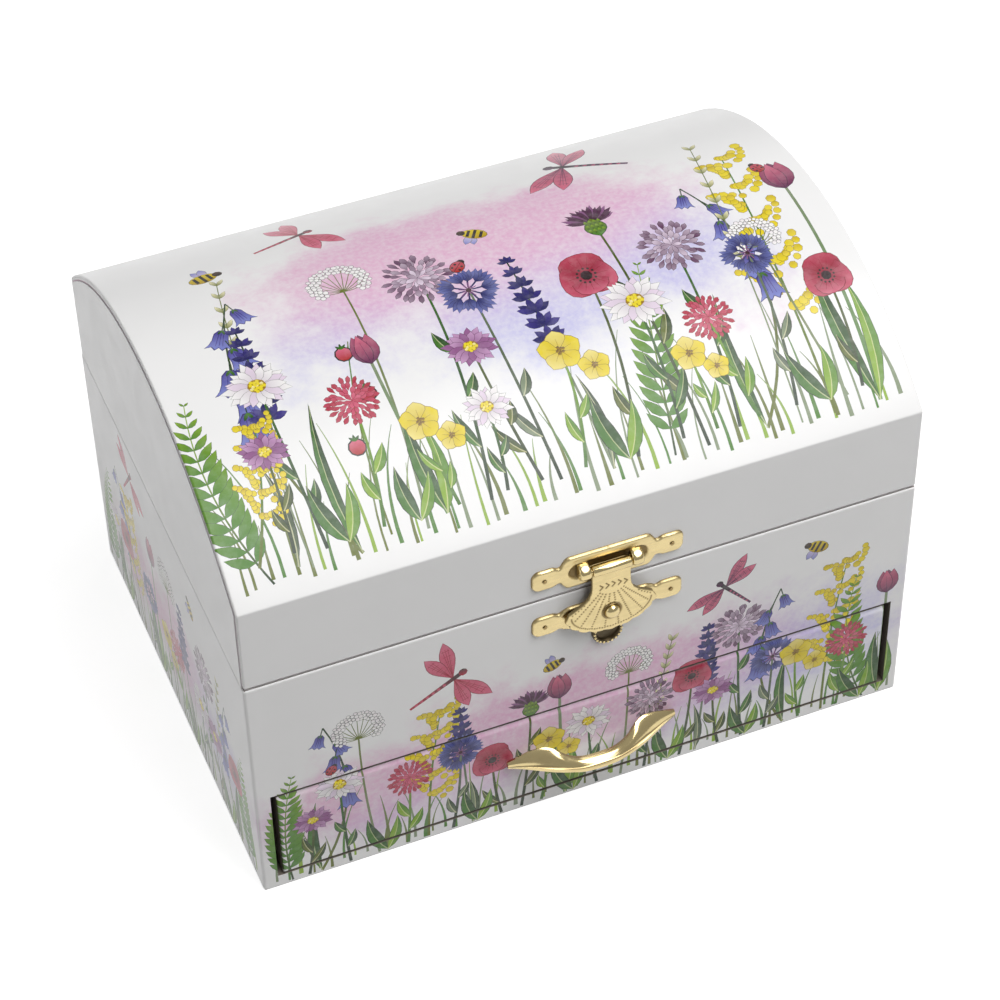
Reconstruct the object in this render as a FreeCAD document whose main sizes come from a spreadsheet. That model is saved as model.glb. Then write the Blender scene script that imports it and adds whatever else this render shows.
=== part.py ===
import FreeCAD, Part
import math
import os
import re
import Sketcher

V = FreeCAD.Vector

# Driving sizes, all in millimetres unless the note says otherwise.
# Frame: X to the right of the box seen from the front, Y to its back, Z up,
# origin at the middle of the underside.
SIZES = [
    ("case_width", "160", "outside width of the box"),
    ("case_depth", "119", "outside depth of the box"),
    ("case_height", "66.5", "height of the lower case to its rim"),
    ("lid_gap", "0.6", "shadow gap between case and lid"),
    ("lid_wall", "22.4", "height of the straight wall of the lid"),
    ("dome_rise", "23.5", "rise of the roof above the crease"),
    ("paper", "0.35", "thickness of the covering paper"),
    ("board", "3.2", "board of the case walls"),
    ("floor_board", "3.9", "board under the drawer"),
    ("shelf_board", "2.4", "board over the drawer"),
    ("drawer_head", "31", "underside of the rail over the drawer"),
    ("lid_board", "2.6", "board of the lid walls"),
    ("roof_board", "2.4", "bent board of the roof"),
    ("lid_pad", "1.2", "padding inside the roof"),
    ("cloth", "0.5", "flocked lining"),
    ("half_w", "=case_width / 2", ""),
    ("half_d", "=case_depth / 2", ""),
    ("wall_x", "=half_w - paper", "outside of the side boards"),
    ("wall_y", "=half_d - paper", "outside of front and back boards"),
    ("inner_x", "=wall_x - board", "inside of the side boards"),
    ("inner_y", "=wall_y - board", "inside of front and back boards"),
    ("shelf_top", "=drawer_head + shelf_board", ""),
    ("lid_foot", "=case_height + lid_gap", "lower edge of the lid"),
    ("crease", "=lid_foot + lid_wall", "edge between lid wall and roof"),
    ("crest", "=crease + dome_rise", "top of the roof"),
    ("dome_r", "=(half_d ^ 2 + dome_rise ^ 2) / (2 * dome_rise)", "outer radius of the roof"),
    ("dome_z", "=crest - dome_r", "height of the roof's axis"),
    ("roof_in", "=dome_r - paper - roof_board", "inner radius of the roof board"),
    ("lid_in_x", "=wall_x - lid_board", "inside of the lid ends"),
    ("stage_half", "30", "half width of the stage between its walls"),
    ("stage_wall", "1.6", "board of the stage walls"),
    ("movement_tall", "22", "room between shelf and stage floor"),
    ("deck_under", "=shelf_top + movement_tall", "underside of the stage floor"),
    ("deck_board", "2", "board of the stage floor"),
    ("deck_top", "=deck_under + deck_board", ""),
    ("parting_rise", "2.6", "partitions above the stage floor"),
    ("parting_top", "=deck_top + parting_rise", "top of the partitions"),
    ("tray_drop", "0.4", "edge of a lining below its wall"),
    ("roll_r", "6.4", "radius of a ring roll"),
    ("roll_gap", "0.2", "gap between ring rolls"),
    ("roll_step", "=2 * roll_r + roll_gap", "distance between the middles of ring rolls"),
    ("roll_count", "5", "number of ring rolls"),
    ("roll_round", "2.5", "rounding of a roll's ends"),
    ("roll_slack", "0.2", "room at each end of a roll"),
    ("running", "0.05", "radial clearance of a turning fit"),
    ("snug", "0.02", "radial clearance of a fixed fit"),
    ("frame_sheet", "1.2", "metal of the movement frame"),
    ("frame_half", "25", "half width of the frame's bed"),
    ("plate_right", "17", "right edge of the bearing plates"),
    ("bed_room", "3", "room between the frame and the back wall"),
    ("bed_long", "29", "depth of the frame's bed"),
    ("bed_back", "=inner_y - bed_room", ""),
    ("bed_front", "=bed_back - bed_long", ""),
    ("bed_top", "=shelf_top + frame_sheet", ""),
    ("plate_span", "24", "distance between the bearing plates"),
    ("plate_rear", "=bed_back - 3", "front face of the rear bearing plate"),
    ("plate_front", "=plate_rear - plate_span", "front face of the front bearing plate"),
    ("plate_tall", "18.6", "bearing plates above the shelf"),
    ("plate_top", "=shelf_top + plate_tall", "top of the bearing plates"),
    ("tooth_module", "0.5", "gear module"),
    ("wheel_great", "36", "teeth of the great wheel"),
    ("wheel_pinion", "18", "teeth of the cylinder pinion"),
    ("wheel_governor", "32", "teeth of the governor wheel"),
    ("wheel_fly", "12", "leaves of the fly pinion"),
    ("cyl_x", "0", "axis of the tune cylinder"),
    ("cyl_rise", "12.8", "cylinder axis above the shelf"),
    ("cyl_z", "=shelf_top + cyl_rise", "axis of the tune cylinder"),
    ("barrel_drop", "1.8", "spring barrel axis below the cylinder axis"),
    ("mesh_great", "=tooth_module * (wheel_great + wheel_pinion) / 2", "centre distance"),
    ("barrel_x", "=cyl_x - sqrt(mesh_great ^ 2 - barrel_drop ^ 2)", ""),
    ("barrel_z", "=cyl_z - barrel_drop", ""),
    ("fly_drop", "3.6", "fly axis below the cylinder axis"),
    ("mesh_fly", "=tooth_module * (wheel_governor + wheel_fly) / 2", "centre distance"),
    ("fly_x", "=cyl_x + sqrt(mesh_fly ^ 2 - fly_drop ^ 2)", ""),
    ("fly_z", "=cyl_z - fly_drop", ""),
    ("fly_r", "4.9", "radius of the fly's vane"),
    ("fly_long", "11.2", "length of the fly's vane"),
    ("fly_axle", "0.6", "radius of the fly's axle"),
    ("vane_sheet", "0.6", "thickness of the fly's vane"),
    ("wheel_gap", "0.4", "wheels off the faces beside them"),
    ("drum_r", "5.2", "radius of the tune cylinder"),
    ("drum_front", "=plate_front + 3", "front end of the tune cylinder"),
    ("drum_long", "18", "length of the tune cylinder"),
    ("drum_back", "=drum_front + drum_long", ""),
    ("pin_high", "0.5", "height of a tune pin"),
    ("pin_r", "0.22", "radius of a tune pin"),
    ("pin_root", "0.6", "tune pins set into the cylinder"),
    ("pin_count", "6", "tune pins for each tooth of the comb"),
    ("arbor_r", "1", "radius of the cylinder arbor"),
    ("great_face", "=drum_back + wheel_gap", "front face of the great wheel"),
    ("great_thick", "1.4", "thickness of the great wheel"),
    ("fly_face", "=plate_front + frame_sheet + wheel_gap", "front face of the governor wheel"),
    ("fly_thick", "1", "thickness of the governor wheel"),
    ("barrel_front", "=plate_front + 5.5", "front of the spring barrel"),
    ("barrel_r", "7.4", "radius of the spring barrel"),
    ("barrel_skin", "0.7", "wall of the spring barrel"),
    ("coil_step", "0.78", "growth of the mainspring in one turn"),
    ("strip", "0.3", "thickness of the mainspring"),
    ("strip_core", "0.7", "mainspring off the winding arbor"),
    ("strip_room", "0.5", "mainspring off the end of its barrel"),
    ("strip_wall", "0.8", "room between the mainspring and the barrel's wall"),
    ("key_r", "1.8", "radius of the winding arbor"),
    ("key_bush_r", "3.2", "radius of the hole for the key bush"),
    ("key_stand", "1.2", "key hub off the back of the box"),
    ("key_plate", "1.6", "thickness of the key's wings"),
    ("key_deep", "6.4", "end of the winding arbor behind the box"),
    ("key_end", "0.05", "room behind the end of the winding arbor"),
    ("key_hub_r", "3", "radius of the key's hub"),
    ("key_hub_long", "6.5", "length of the key's hub"),
    ("key_eye", "2", "radius of the eyes in the key's wings"),
    ("key_rim", "2", "rim of the key bush beyond its hole"),
    ("key_rim_sheet", "0.7", "thickness of that rim"),
    ("comb_rise", "3.2", "comb above the cylinder axis"),
    ("comb_z", "=cyl_z + comb_rise", "underside of the comb"),
    ("comb_sheet", "0.8", "thickness of the comb"),
    ("comb_back", "22.2", "right edge of the comb"),
    ("comb_seat", "6", "width of the comb's seat"),
    ("comb_play", "0.15", "comb tips clear of the pins"),
    ("comb_teeth", "18", "teeth of the comb"),
    ("comb_root", "4.7", "longest slit of the comb in front of its seat"),
    ("comb_taper", "0.12", "each slit of the comb shorter than the last"),
    ("screw_r", "0.9", "radius of a screw"),
    ("screw_head", "1.7", "radius of a screw head"),
    ("screw_cap", "0.9", "height of a screw head"),
    ("screw_cleft", "0.2", "half width of a screw's slot"),
    ("screw_floor", "0.5", "floor of the slot above the seat"),
    ("screw_room", "0.1", "radial room of a screw in its hole"),
    ("bed_screw", "3.2", "length of a frame screw"),
    ("comb_screw", "5", "length of a comb screw"),
    ("drive_arm", "10", "friction contact behind the dancer's axis"),
    ("roller_y", "=plate_front - 4", "middle of the friction roller"),
    ("roller_wide", "2.4", "width of the friction roller"),
    ("dancer_y", "=roller_y - drive_arm", "axis of the dancer"),
    ("stage_front", "=dancer_y - 15", "front of the stage"),
    ("disc_drop", "1.5", "friction disc below the stage floor"),
    ("disc_under", "=deck_under - disc_drop", "underside of the friction disc"),
    ("disc_r", "12.5", "radius of the friction disc"),
    ("disc_sheet", "0.8", "thickness of the friction disc"),
    ("roller_r", "=disc_under - cyl_z - running", "radius of the friction roller"),
    ("spindle_r", "1.4", "radius of the dancer spindle"),
    ("bush_r", "3", "radius of the hole for the stage bush"),
    ("bush_rim", "4.3", "radius of the rim of the stage bush"),
    ("bush_lip", "0.4", "thickness of that rim"),
    ("step_r", "3.6", "radius of the spindle's foot bearing"),
    ("step_tall", "2.4", "height of the foot bearing"),
    ("spindle_lift", "0.5", "foot of the spindle above the shelf"),
    ("table_under", "=deck_top + 1.5", "underside of the turntable"),
    ("table_sheet", "1.4", "thickness of the turntable"),
    ("table_top", "=table_under + table_sheet", "top of the turntable"),
    ("table_r", "9.5", "radius of the turntable"),
    ("coil_r", "2.4", "mean radius of the dancer spring"),
    ("wire_r", "0.35", "radius of its wire"),
    ("coil_pitch", "1.25", "rise of one turn"),
    ("coil_turns", "3", "turns"),
    ("coil_bend", "0.9", "height of the bend at each end"),
    ("sole", "=table_top + 4 * wire_r + 2 * coil_bend + coil_pitch * coil_turns", "under the dancer's foot disc"),
    ("mirror_half_x", "42", "half width of the mirror frame"),
    ("mirror_half_y", "22", "half depth of the mirror frame"),
    ("mirror_rim", "2", "rim of the mirror frame"),
    ("mirror_tall", "2.9", "height of the mirror frame"),
    ("mirror_back", "1.1", "backing of the mirror"),
    ("mirror_sheet", "1.5", "glass of the mirror"),
    ("mirror_top", "=dome_z + sqrt((roof_in - lid_pad) ^ 2 - mirror_half_y ^ 2) - 0.1", "top of the frame"),
    ("mirror_under", "=mirror_top - mirror_tall", "underside of the frame"),
    ("dancer_room", "2.2", "room above the dancer's hands"),
    ("dancer_tall", "=mirror_under - dancer_room - sole", "height of the dancer on the foot disc"),
    ("tutu_r", "11", "radius of the tutu"),
    ("stop_r", "0.9", "radius of the stop wire's post"),
    ("stop_wire_r", "0.6", "radius of the stop wire's arm"),
    ("stop_y", "=inner_y + board / 2", "middle of the stop wire's post"),
    ("stop_arm", "=plate_top + 0.95", "height of the stop wire's arm"),
    ("stop_foot", "=fly_z + fly_r + 0.45", "underside of the stop wire"),
    ("stop_reach", "=plate_rear - 1.3", "front of the stop wire"),
    ("hinge_x", "46", "middle of each lid hinge"),
    ("hinge_half", "9", "half width of a hinge"),
    ("hinge_out", "1.75", "hinge axis behind the back of the box"),
    ("hinge_z", "=case_height + lid_gap / 2", "height of the hinge axis"),
    ("hinge_r", "1.6", "radius of the hinge knuckles"),
    ("hinge_pin", "0.7", "radius of the hinge pin"),
    ("hinge_sheet", "0.8", "sheet metal of the hinges"),
    ("leaf_near", "1.9", "near edge of a leaf from the hinge axis"),
    ("leaf_far", "10.5", "far edge of a leaf from the hinge axis"),
    ("leaf_nail", "6.6", "nails from the hinge axis"),
    ("leaf_nail_x", "5.6", "nails from the middle of the hinge"),
    ("knuckle_in", "3.2", "inner end of the case knuckles"),
    ("knuckle_mid", "3", "half width of the lid knuckle"),
    ("hasp_x", "4", "middle of the hasp, to the right of the middle of the box"),
    ("hasp_sheet", "0.8", "sheet metal of the hasp"),
    ("hasp_half", "18", "half length of a hasp plate"),
    ("hasp_z", "=lid_foot + 6.1", "middle of the upper hasp plate"),
    ("hasp_low", "=case_height - 7.5", "middle of the lower hasp plate"),
    ("hasp_end", "3.2", "radius of the round ends of a hasp plate"),
    ("hasp_waist", "2.3", "half height of the waist of a hasp plate"),
    ("hasp_mid", "8.6", "half width of the middle of a hasp plate"),
    ("hasp_tall", "4.6", "half height of the middle of the upper plate"),
    ("hasp_short", "3.4", "half height of the middle of the lower plate"),
    ("loop_r", "1.4", "radius of the flap's loops"),
    ("loop_wide", "2.4", "width of a loop"),
    ("flap_pin_r", "0.6", "radius of the flap's pin"),
    ("flap_out", "2.2", "flap axis in front of the box"),
    ("flap_z", "=hasp_z + 0.2", "height of the flap axis"),
    ("flap_neck", "4.6", "half width of the flap's neck"),
    ("flap_curl", "1.3", "radius of the flap's curl"),
    ("flap_half", "10.7", "half width of the shell"),
    ("flap_wide_z", "=hasp_low + 1.4", "height of the widest part of the shell"),
    ("flap_foot", "=hasp_low - 7", "bottom of the shell"),
    ("flap_lobes", "9", "scallops of the shell's rim"),
    ("knob_r", "2", "radius of the knob"),
    ("knob_stem", "0.8", "radius of the knob's stem"),
    ("socket_r", "3.7", "outer radius of the socket"),
    ("socket_in", "2.7", "inner radius of the socket"),
    ("socket_z", "=hasp_low - 7.3", "middle of the socket"),
    ("socket_out", "1.2", "socket out of the front"),
    ("socket_sheet", "0.5", "floor of the socket"),
    ("side_gap", "1.45", "gap at each side of the drawer front"),
    ("drawer_foot", "4.7", "lower edge of the drawer front"),
    ("drawer_over", "1", "gap over the drawer front"),
    ("drawer_top", "=drawer_head - drawer_over", "upper edge of the drawer front"),
    ("front_board", "4", "board of the drawer front"),
    ("drawer_end", "=inner_y - 9", "back of the drawer"),
    ("drawer_side", "2", "board of the drawer sides"),
    ("drawer_inset", "0.6", "drawer sides in from the ends of the front"),
    ("drawer_low", "=floor_board + 0.4", "underside of the drawer box"),
    ("drawer_rim", "=drawer_top - 3.5", "rim of the drawer box"),
    ("drawer_bed", "1.6", "board of the drawer floor"),
    ("pull_half", "20.8", "half length of the pull"),
    ("pull_reach", "8.4", "how far the pull stands out"),
    ("pull_sheet", "1", "metal of the pull"),
    ("pull_z", "=(drawer_foot + drawer_top) / 2 + 0.25", "height of the pull's tips"),
    ("rivet_in", "1.2", "pull rivets in from the tips"),
    ("rivet_r", "0.5", "radius of a pull rivet"),
    ("nail_r", "0.55", "radius of a nail"),
    ("nail_long", "3", "length of a nail"),
    ("nail_dome", "1.2", "radius of the dome of a nail's head"),
    ("nail_sunk", "0.75", "middle of that dome below the face"),
    ("rivet_dome", "1", "radius of the dome of a rivet's head"),
    ("rivet_sunk", "0.45", "middle of that dome below its seat"),
    ("rivet_out", "1.4", "seat of a rivet's head in front of the drawer"),
    ("end_inset", "1.3", "end papers in from the edges of the lid"),
    ("end_foot", "0.9", "end papers above the foot of the lid"),
    ("end_arc", "1.4", "end papers in from the roof"),
    ("soft_room", "0.2", "linings in from the boards beside them"),
    ("lining_half", "50", "half depth of the lid lining"),
    ("lining_gap", "0.05", "lid lining off the roof board"),
    ("glass_room", "0.1", "mirror in its frame"),
    ("wrap_lift", "0.2", "paper of the case above the table"),
]

doc = FreeCAD.newDocument("jewellery_box")
sheet = doc.addObject("Spreadsheet::Sheet", "Sizes")
for row, (alias, value, note) in enumerate(SIZES, start=1):
    sheet.set("A%d" % row, alias)
    sheet.set("B%d" % row, value)
    sheet.setAlias("B%d" % row, alias)
    sheet.set("C%d" % row, note)
doc.recompute()

NAMES = {entry[0] for entry in SIZES}
NODES = []


def sized(text):
    """An expression with each size name pointed at the sheet."""
    def point(found):
        word = found.group(0)
        return "Sizes." + word if word in NAMES else word
    return re.sub(r"[a-z_]+", point, str(text))


def num(text):
    """The present value of an expression."""
    return float(sheet.evalExpression(sized(text)))


def bind(thing, field, text):
    thing.setExpression(field, sized(text))


def seat(thing, x, y, z):
    for axis, text in zip("xyz", (x, y, z)):
        bind(thing, "Placement.Base." + axis, text)


def node(thing):
    NODES.append(thing)
    thing.Label = thing.Name
    return thing


def block(name, x, y, z):
    """A board between three pairs of limits."""
    thing = doc.addObject("Part::Box", name)
    for field, (low, high) in zip(("Length", "Width", "Height"), (x, y, z)):
        bind(thing, field, "(%s) - (%s)" % (high, low))
    seat(thing, x[0], y[0], z[0])
    return thing


TURN = {
    "x": FreeCAD.Rotation(V(0, 1, 0), 90),
    "y": FreeCAD.Rotation(V(1, 0, 0), -90),
    "z": FreeCAD.Rotation(),
}


def rod(name, along, radius, foot, length):
    """A round bar from a foot point along one axis."""
    thing = doc.addObject("Part::Cylinder", name)
    bind(thing, "Radius", radius)
    bind(thing, "Height", length)
    thing.Placement = FreeCAD.Placement(V(0, 0, 0), TURN[along])
    seat(thing, *foot)
    return thing


def cut(name, base, tools):
    if len(tools) == 1:
        tool = tools[0]
    else:
        tool = doc.addObject("Part::Compound", name + "_tools")
        tool.Links = tools
    thing = doc.addObject("Part::Cut", name)
    thing.Base = base
    thing.Tool = tool
    return thing


def fuse(name, pieces):
    thing = doc.addObject("Part::MultiFuse", name)
    thing.Shapes = pieces
    thing.Refine = True
    return thing


def common(name, pieces):
    thing = doc.addObject("Part::MultiCommon", name)
    thing.Shapes = pieces
    return thing


def group(name, pieces):
    thing = doc.addObject("Part::Compound", name)
    thing.Links = pieces
    return thing


def solid(name, shape):
    """A form held as one shape, its sizes read from the sheet."""
    thing = doc.addObject("Part::Feature", name)
    thing.Shape = shape
    return thing


def plane_of(body, role):
    for feature in body.Origin.OriginFeatures:
        if feature.Role == role:
            return feature
    raise ValueError(role)


def fix_point(sketch, edge, end, x, y):
    """Hold one sketch point at two expressions."""
    for kind, text, axis in (("DistanceX", x, -2), ("DistanceY", y, -1)):
        value = num(text)
        if abs(value) < 1e-9:
            sketch.addConstraint(Sketcher.Constraint("PointOnObject", edge, end, axis))
            continue
        if value > 0:
            index = sketch.addConstraint(Sketcher.Constraint(kind, -1, 1, edge, end, value))
            held = text
        else:
            index = sketch.addConstraint(Sketcher.Constraint(kind, edge, end, -1, 1, -value))
            held = "-(%s)" % text
        bind(sketch, "Constraints[%d]" % index, held)


def plate(name, role, offset, thick, corners):
    """A pad on a sketch; a corner may end with the radius of the arc to the next corner.

    A positive radius bulges to the right of the way round, a negative one to the left.
    """
    body = doc.addObject("PartDesign::Body", name)
    sketch = body.newObject("Sketcher::SketchObject", name + "_outline")
    sketch.AttachmentSupport = [(plane_of(body, role), "")]
    sketch.MapMode = "FlatFace"
    bind(sketch, "AttachmentOffset.Base.z", offset)
    spots = [V(num(c[0]), num(c[1]), 0) for c in corners]
    starts = []
    ends = []
    for i, corner in enumerate(corners):
        here = spots[i]
        there = spots[(i + 1) % len(corners)]
        if len(corner) == 2:
            sketch.addGeometry(Part.LineSegment(here, there))
            starts.append(1)
            ends.append(2)
            continue
        radius = num(corner[2])
        chord = there - here
        reach = math.sqrt(max(radius ** 2 - (chord.Length / 2) ** 2, 0))
        right = V(chord.y, -chord.x, 0).normalize()
        middle = (here + there) * 0.5
        side = 1 if radius > 0 else -1
        centre = middle - right * (side * reach)
        first, last = (here, there) if side > 0 else (there, here)
        begin = math.atan2(first.y - centre.y, first.x - centre.x)
        finish = math.atan2(last.y - centre.y, last.x - centre.x)
        circle = Part.Circle(centre, V(0, 0, 1), abs(radius))
        sketch.addGeometry(Part.ArcOfCircle(circle, begin, finish))
        starts.append(1 if side > 0 else 2)
        ends.append(2 if side > 0 else 1)
    count = len(corners)
    for i in range(count):
        before = (i - 1) % count
        sketch.addConstraint(Sketcher.Constraint("Coincident", before, ends[before], i, starts[i]))
        fix_point(sketch, i, starts[i], corners[i][0], corners[i][1])
        if len(corners[i]) == 3:
            radius = num(corners[i][2])
            index = sketch.addConstraint(Sketcher.Constraint("Radius", i, abs(radius)))
            held = corners[i][2] if radius > 0 else "-(%s)" % corners[i][2]
            bind(sketch, "Constraints[%d]" % index, held)
    doc.recompute()
    pad = body.newObject("PartDesign::Pad", name + "_pad")
    pad.Profile = sketch
    bind(pad, "Length", thick)
    sketch.Visibility = False
    body.Tip = pad
    return body


# The case: boards glued at the corners, open at the front for the drawer.
SIDE = ("-wall_y", "wall_y")
ACROSS = ("-inner_x", "inner_x")
node(block("base_board", ACROSS, SIDE, ("0", "floor_board")))
node(block("left_wall", ("-wall_x", "-inner_x"), SIDE, ("0", "case_height")))
node(block("right_wall", ("inner_x", "wall_x"), SIDE, ("0", "case_height")))
node(block("front_rail", ACROSS, ("-wall_y", "-inner_y"), ("drawer_head", "case_height")))
node(block("shelf", ACROSS, ("-inner_y", "inner_y"), ("drawer_head", "shelf_top")))

back = block("back_blank", ACROSS, ("inner_y", "wall_y"), ("floor_board", "case_height"))
key_hole = rod("key_hole", "y", "key_bush_r", ("barrel_x", "inner_y - 1", "barrel_z"), "board + paper + 3")
SLOT_LOW = "stop_arm - stop_r - 0.45"
stop_bore = rod("stop_bore", "z", "stop_r + running", ("fly_x", "stop_y", SLOT_LOW), "case_height")
stop_slot = block("stop_slot", ("fly_x - stop_r", "fly_x + stop_r"), ("inner_y - 1", "stop_y"),
                  (SLOT_LOW, "deck_under"))
node(cut("back_wall", back, [key_hole, stop_bore, stop_slot]))

wrap_out = block("case_wrap_out", ("-half_w", "half_w"), ("-half_d", "half_d"), ("wrap_lift", "case_height"))
wrap_in = block("case_wrap_in", ("-wall_x", "wall_x"), SIDE, ("-1", "case_height + 1"))
wrap_door = block("case_wrap_door", ACROSS, ("-half_d - 1", "-inner_y"), ("floor_board", "drawer_head"))
wrap_key = rod("wrap_key", "y", "key_bush_r", ("barrel_x", "inner_y", "barrel_z"), "board + 2")
node(cut("case_wrap", wrap_out, [wrap_in, wrap_door, wrap_key]))

# The stage: partitions, front and floor that close the movement in.
WALL_OUT = "stage_half + stage_wall"
DEEP = ("-inner_y", "inner_y")
UPRIGHT = ("shelf_top", "parting_top")
left_parting = block("left_parting", ("-(%s)" % WALL_OUT, "-stage_half"), DEEP, UPRIGHT)
right_parting = block("right_parting", ("stage_half", WALL_OUT), DEEP, UPRIGHT)
node(group("stage_partitions", [left_parting, right_parting]))
STAGE = ("-stage_half", "stage_half")
node(block("stage_front_wall", STAGE, ("stage_front", "stage_front + stage_wall"), ("shelf_top", "deck_under")))
deck = block("deck_blank", STAGE, ("stage_front", "inner_y"), ("deck_under", "deck_top"))
deck_hole = rod("deck_hole", "z", "bush_r", ("0", "dancer_y", "deck_under - 1"), "deck_board + 2")
node(cut("dance_deck", deck, [deck_hole]))


def tray(name, x, y, top):
    """A thin lining, open at the top."""
    outer = block(name + "_out", x, y, ("shelf_top", top))
    inset = [("%s + cloth" % low, "%s - cloth" % high) for low, high in (x, y)]
    inner = block(name + "_in", inset[0], inset[1], ("shelf_top + cloth", "case_height"))
    return cut(name, outer, [inner])


left_tray = tray("left_tray", ("-inner_x", "-(%s)" % WALL_OUT), DEEP, "parting_top - tray_drop")
right_tray = tray("right_tray", (WALL_OUT, "inner_x"), DEEP, "parting_top - tray_drop")
front_tray = tray("front_tray", STAGE, ("-inner_y", "stage_front"), "deck_top")
deck_cloth = block("deck_cloth", STAGE, ("stage_front", "inner_y"), ("deck_top", "deck_top + cloth"))
cloth_hole = rod("cloth_hole", "z", "bush_r + 0.1", ("0", "dancer_y", "deck_top - 1"), "3")
stage_cloth = cut("stage_cloth", deck_cloth, [cloth_hole])
node(group("linings", [left_tray, right_tray, front_tray, stage_cloth]))

rolls = []
roll_low = "%s + cloth + roll_slack" % WALL_OUT
roll_high = "inner_x - cloth - roll_slack"
for i in range(int(num("roll_count"))):
    middle = "inner_y - cloth - 0.1 - roll_r - %d * roll_step" % i
    height = "shelf_top + cloth + roll_r"
    bar = rod("roll_bar_%d" % i, "x", "roll_r", (roll_low, middle, height), "%s - (%s)" % (roll_high, roll_low))
    soft = doc.addObject("Part::Fillet", "roll_%d" % i)
    soft.Base = bar
    doc.recompute()
    rims = [k for k, edge in enumerate(bar.Shape.Edges, start=1) if edge.isClosed()]
    soft.Edges = [(k, num("roll_round"), num("roll_round")) for k in rims]
    rolls.append(soft)
node(group("ring_rolls", rolls))

# The movement: a folded metal frame carrying barrel, cylinder, fly and comb.
bed = block("frame_bed", ("-frame_half", "frame_half"), ("bed_front", "bed_back"), ("shelf_top", "bed_top"))
PLATE_X = ("-frame_half", "plate_right")
PLATE_Z = ("bed_top", "plate_top")
low_front = block("frame_front", PLATE_X, ("plate_front", "plate_front + frame_sheet"), PLATE_Z)
low_rear = block("frame_rear", PLATE_X, ("plate_rear", "plate_rear + frame_sheet"), PLATE_Z)
comb_seat = block("frame_seat", ("comb_back - comb_seat", "comb_back"), ("drum_front + 0.5", "drum_back - 0.5"),
                  ("bed_top", "comb_z"))
frame_blank = fuse("frame_blank", [bed, low_front, low_rear, comb_seat])
SCREWS = [
    ("3 - frame_half", "plate_front + 3.2"),
    ("frame_half - 3", "plate_front + 1"),
    ("3 - frame_half", "plate_rear - 3"),
    ("frame_half - 2", "plate_rear + 0.6"),
]
COMB_SCREW_X = "comb_back - comb_seat / 2"
COMB_SCREWS = ["drum_front + drum_long / 4", "drum_back - drum_long / 4"]
BORE = "plate_span + 4"
frame_holes = [
    rod("bore_barrel", "y", "key_r + running", ("barrel_x", "plate_front - 1", "barrel_z"), BORE),
    rod("bore_cyl", "y", "arbor_r + running", ("cyl_x", "plate_front - 1", "cyl_z"), BORE),
    rod("bore_fly", "y", "fly_axle + running", ("fly_x", "plate_front - 1", "fly_z"), BORE),
]
for i, (x, y) in enumerate(SCREWS):
    spot = (x, y, "shelf_top - 1")
    frame_holes.append(rod("bed_hole_%d" % i, "z", "screw_r + screw_room", spot, "frame_sheet + 2"))
for i, y in enumerate(COMB_SCREWS):
    spot = (COMB_SCREW_X, y, "comb_z - comb_screw")
    frame_holes.append(rod("seat_hole_%d" % i, "z", "screw_r + snug", spot, "comb_screw + 2"))
node(cut("movement_frame", frame_blank, frame_holes))

COMB_TIP = "cyl_x + sqrt((drum_r + pin_high + comb_play) ^ 2 - comb_rise ^ 2)"
teeth = int(num("comb_teeth"))
outline = [("comb_back", "drum_front"), ("comb_back", "drum_back")]
for i in range(teeth):
    high = "drum_back - %g * drum_long / %d" % (i + 0.12, teeth)
    low = "drum_back - %g * drum_long / %d" % (i + 0.88, teeth)
    root = "comb_back - comb_seat - comb_root + %d * comb_taper" % i
    outline += [(root, high), (COMB_TIP, high), (COMB_TIP, low), (root, low)]
comb_blank = plate("comb_blank", "XY_Plane", "comb_z", "comb_sheet", outline[::-1])
comb_holes = []
for i, y in enumerate(COMB_SCREWS):
    spot = (COMB_SCREW_X, y, "comb_z - 1")
    comb_holes.append(rod("comb_hole_%d" % i, "z", "screw_r + screw_room", spot, "comb_sheet + 2"))
node(cut("tone_comb", comb_blank, comb_holes))


def screw(name, x, y, top, long):
    """A slotted screw with its head on a face."""
    head = rod(name + "_head", "z", "screw_head", (x, y, top), "screw_cap")
    shank = rod(name + "_shank", "z", "screw_r", (x, y, "%s - %s" % (top, long)), long)
    slot = block(name + "_slot", ("%s - 2 * screw_r" % x, "%s + 2 * screw_r" % x),
                 ("%s - screw_cleft" % y, "%s + screw_cleft" % y), ("%s + screw_floor" % top, "%s + 2" % top))
    return cut(name, fuse(name + "_blank", [head, shank]), [slot])


screws = [screw("bed_screw_%d" % i, x, y, "bed_top", "bed_screw") for i, (x, y) in enumerate(SCREWS)]
for i, y in enumerate(COMB_SCREWS):
    screws.append(screw("comb_screw_%d" % i, COMB_SCREW_X, y, "comb_z + comb_sheet", "comb_screw"))
node(group("movement_screws", screws))


# Height of a tooth above and below the pitch circle in modules, and its half
# widths at root, pitch circle and tip as shares of the pitch.
ADDENDUM, DEDENDUM = 0.85, 1.15
ROOT_HALF, PITCH_HALF, TIP_HALF = 0.31, 0.21, 0.1


def wheel(count, front, thick, x, z, phase, bore):
    """A spur wheel on an axis along Y; one tooth stands at the phase angle."""
    module = num("tooth_module")
    pitch = module * count / 2
    tip = pitch + ADDENDUM * module
    root = pitch - DEDENDUM * module
    step = 2 * math.pi / count
    flank = [(root, -ROOT_HALF), (pitch, -PITCH_HALF), (tip, -TIP_HALF)]
    flank += [(radius, -part) for radius, part in reversed(flank)]
    spots = []
    for i in range(count):
        middle = phase + i * step
        for radius, part in flank:
            angle = middle + part * step
            spots.append(V(x + radius * math.cos(angle), front, z + radius * math.sin(angle)))
    spots.append(spots[0])
    body = Part.Face(Part.makePolygon(spots)).extrude(V(0, thick, 0))
    if bore:
        body = body.cut(Part.makeCylinder(bore, thick + 2, V(x, front - 1, z), V(0, 1, 0)))
    return body


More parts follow.
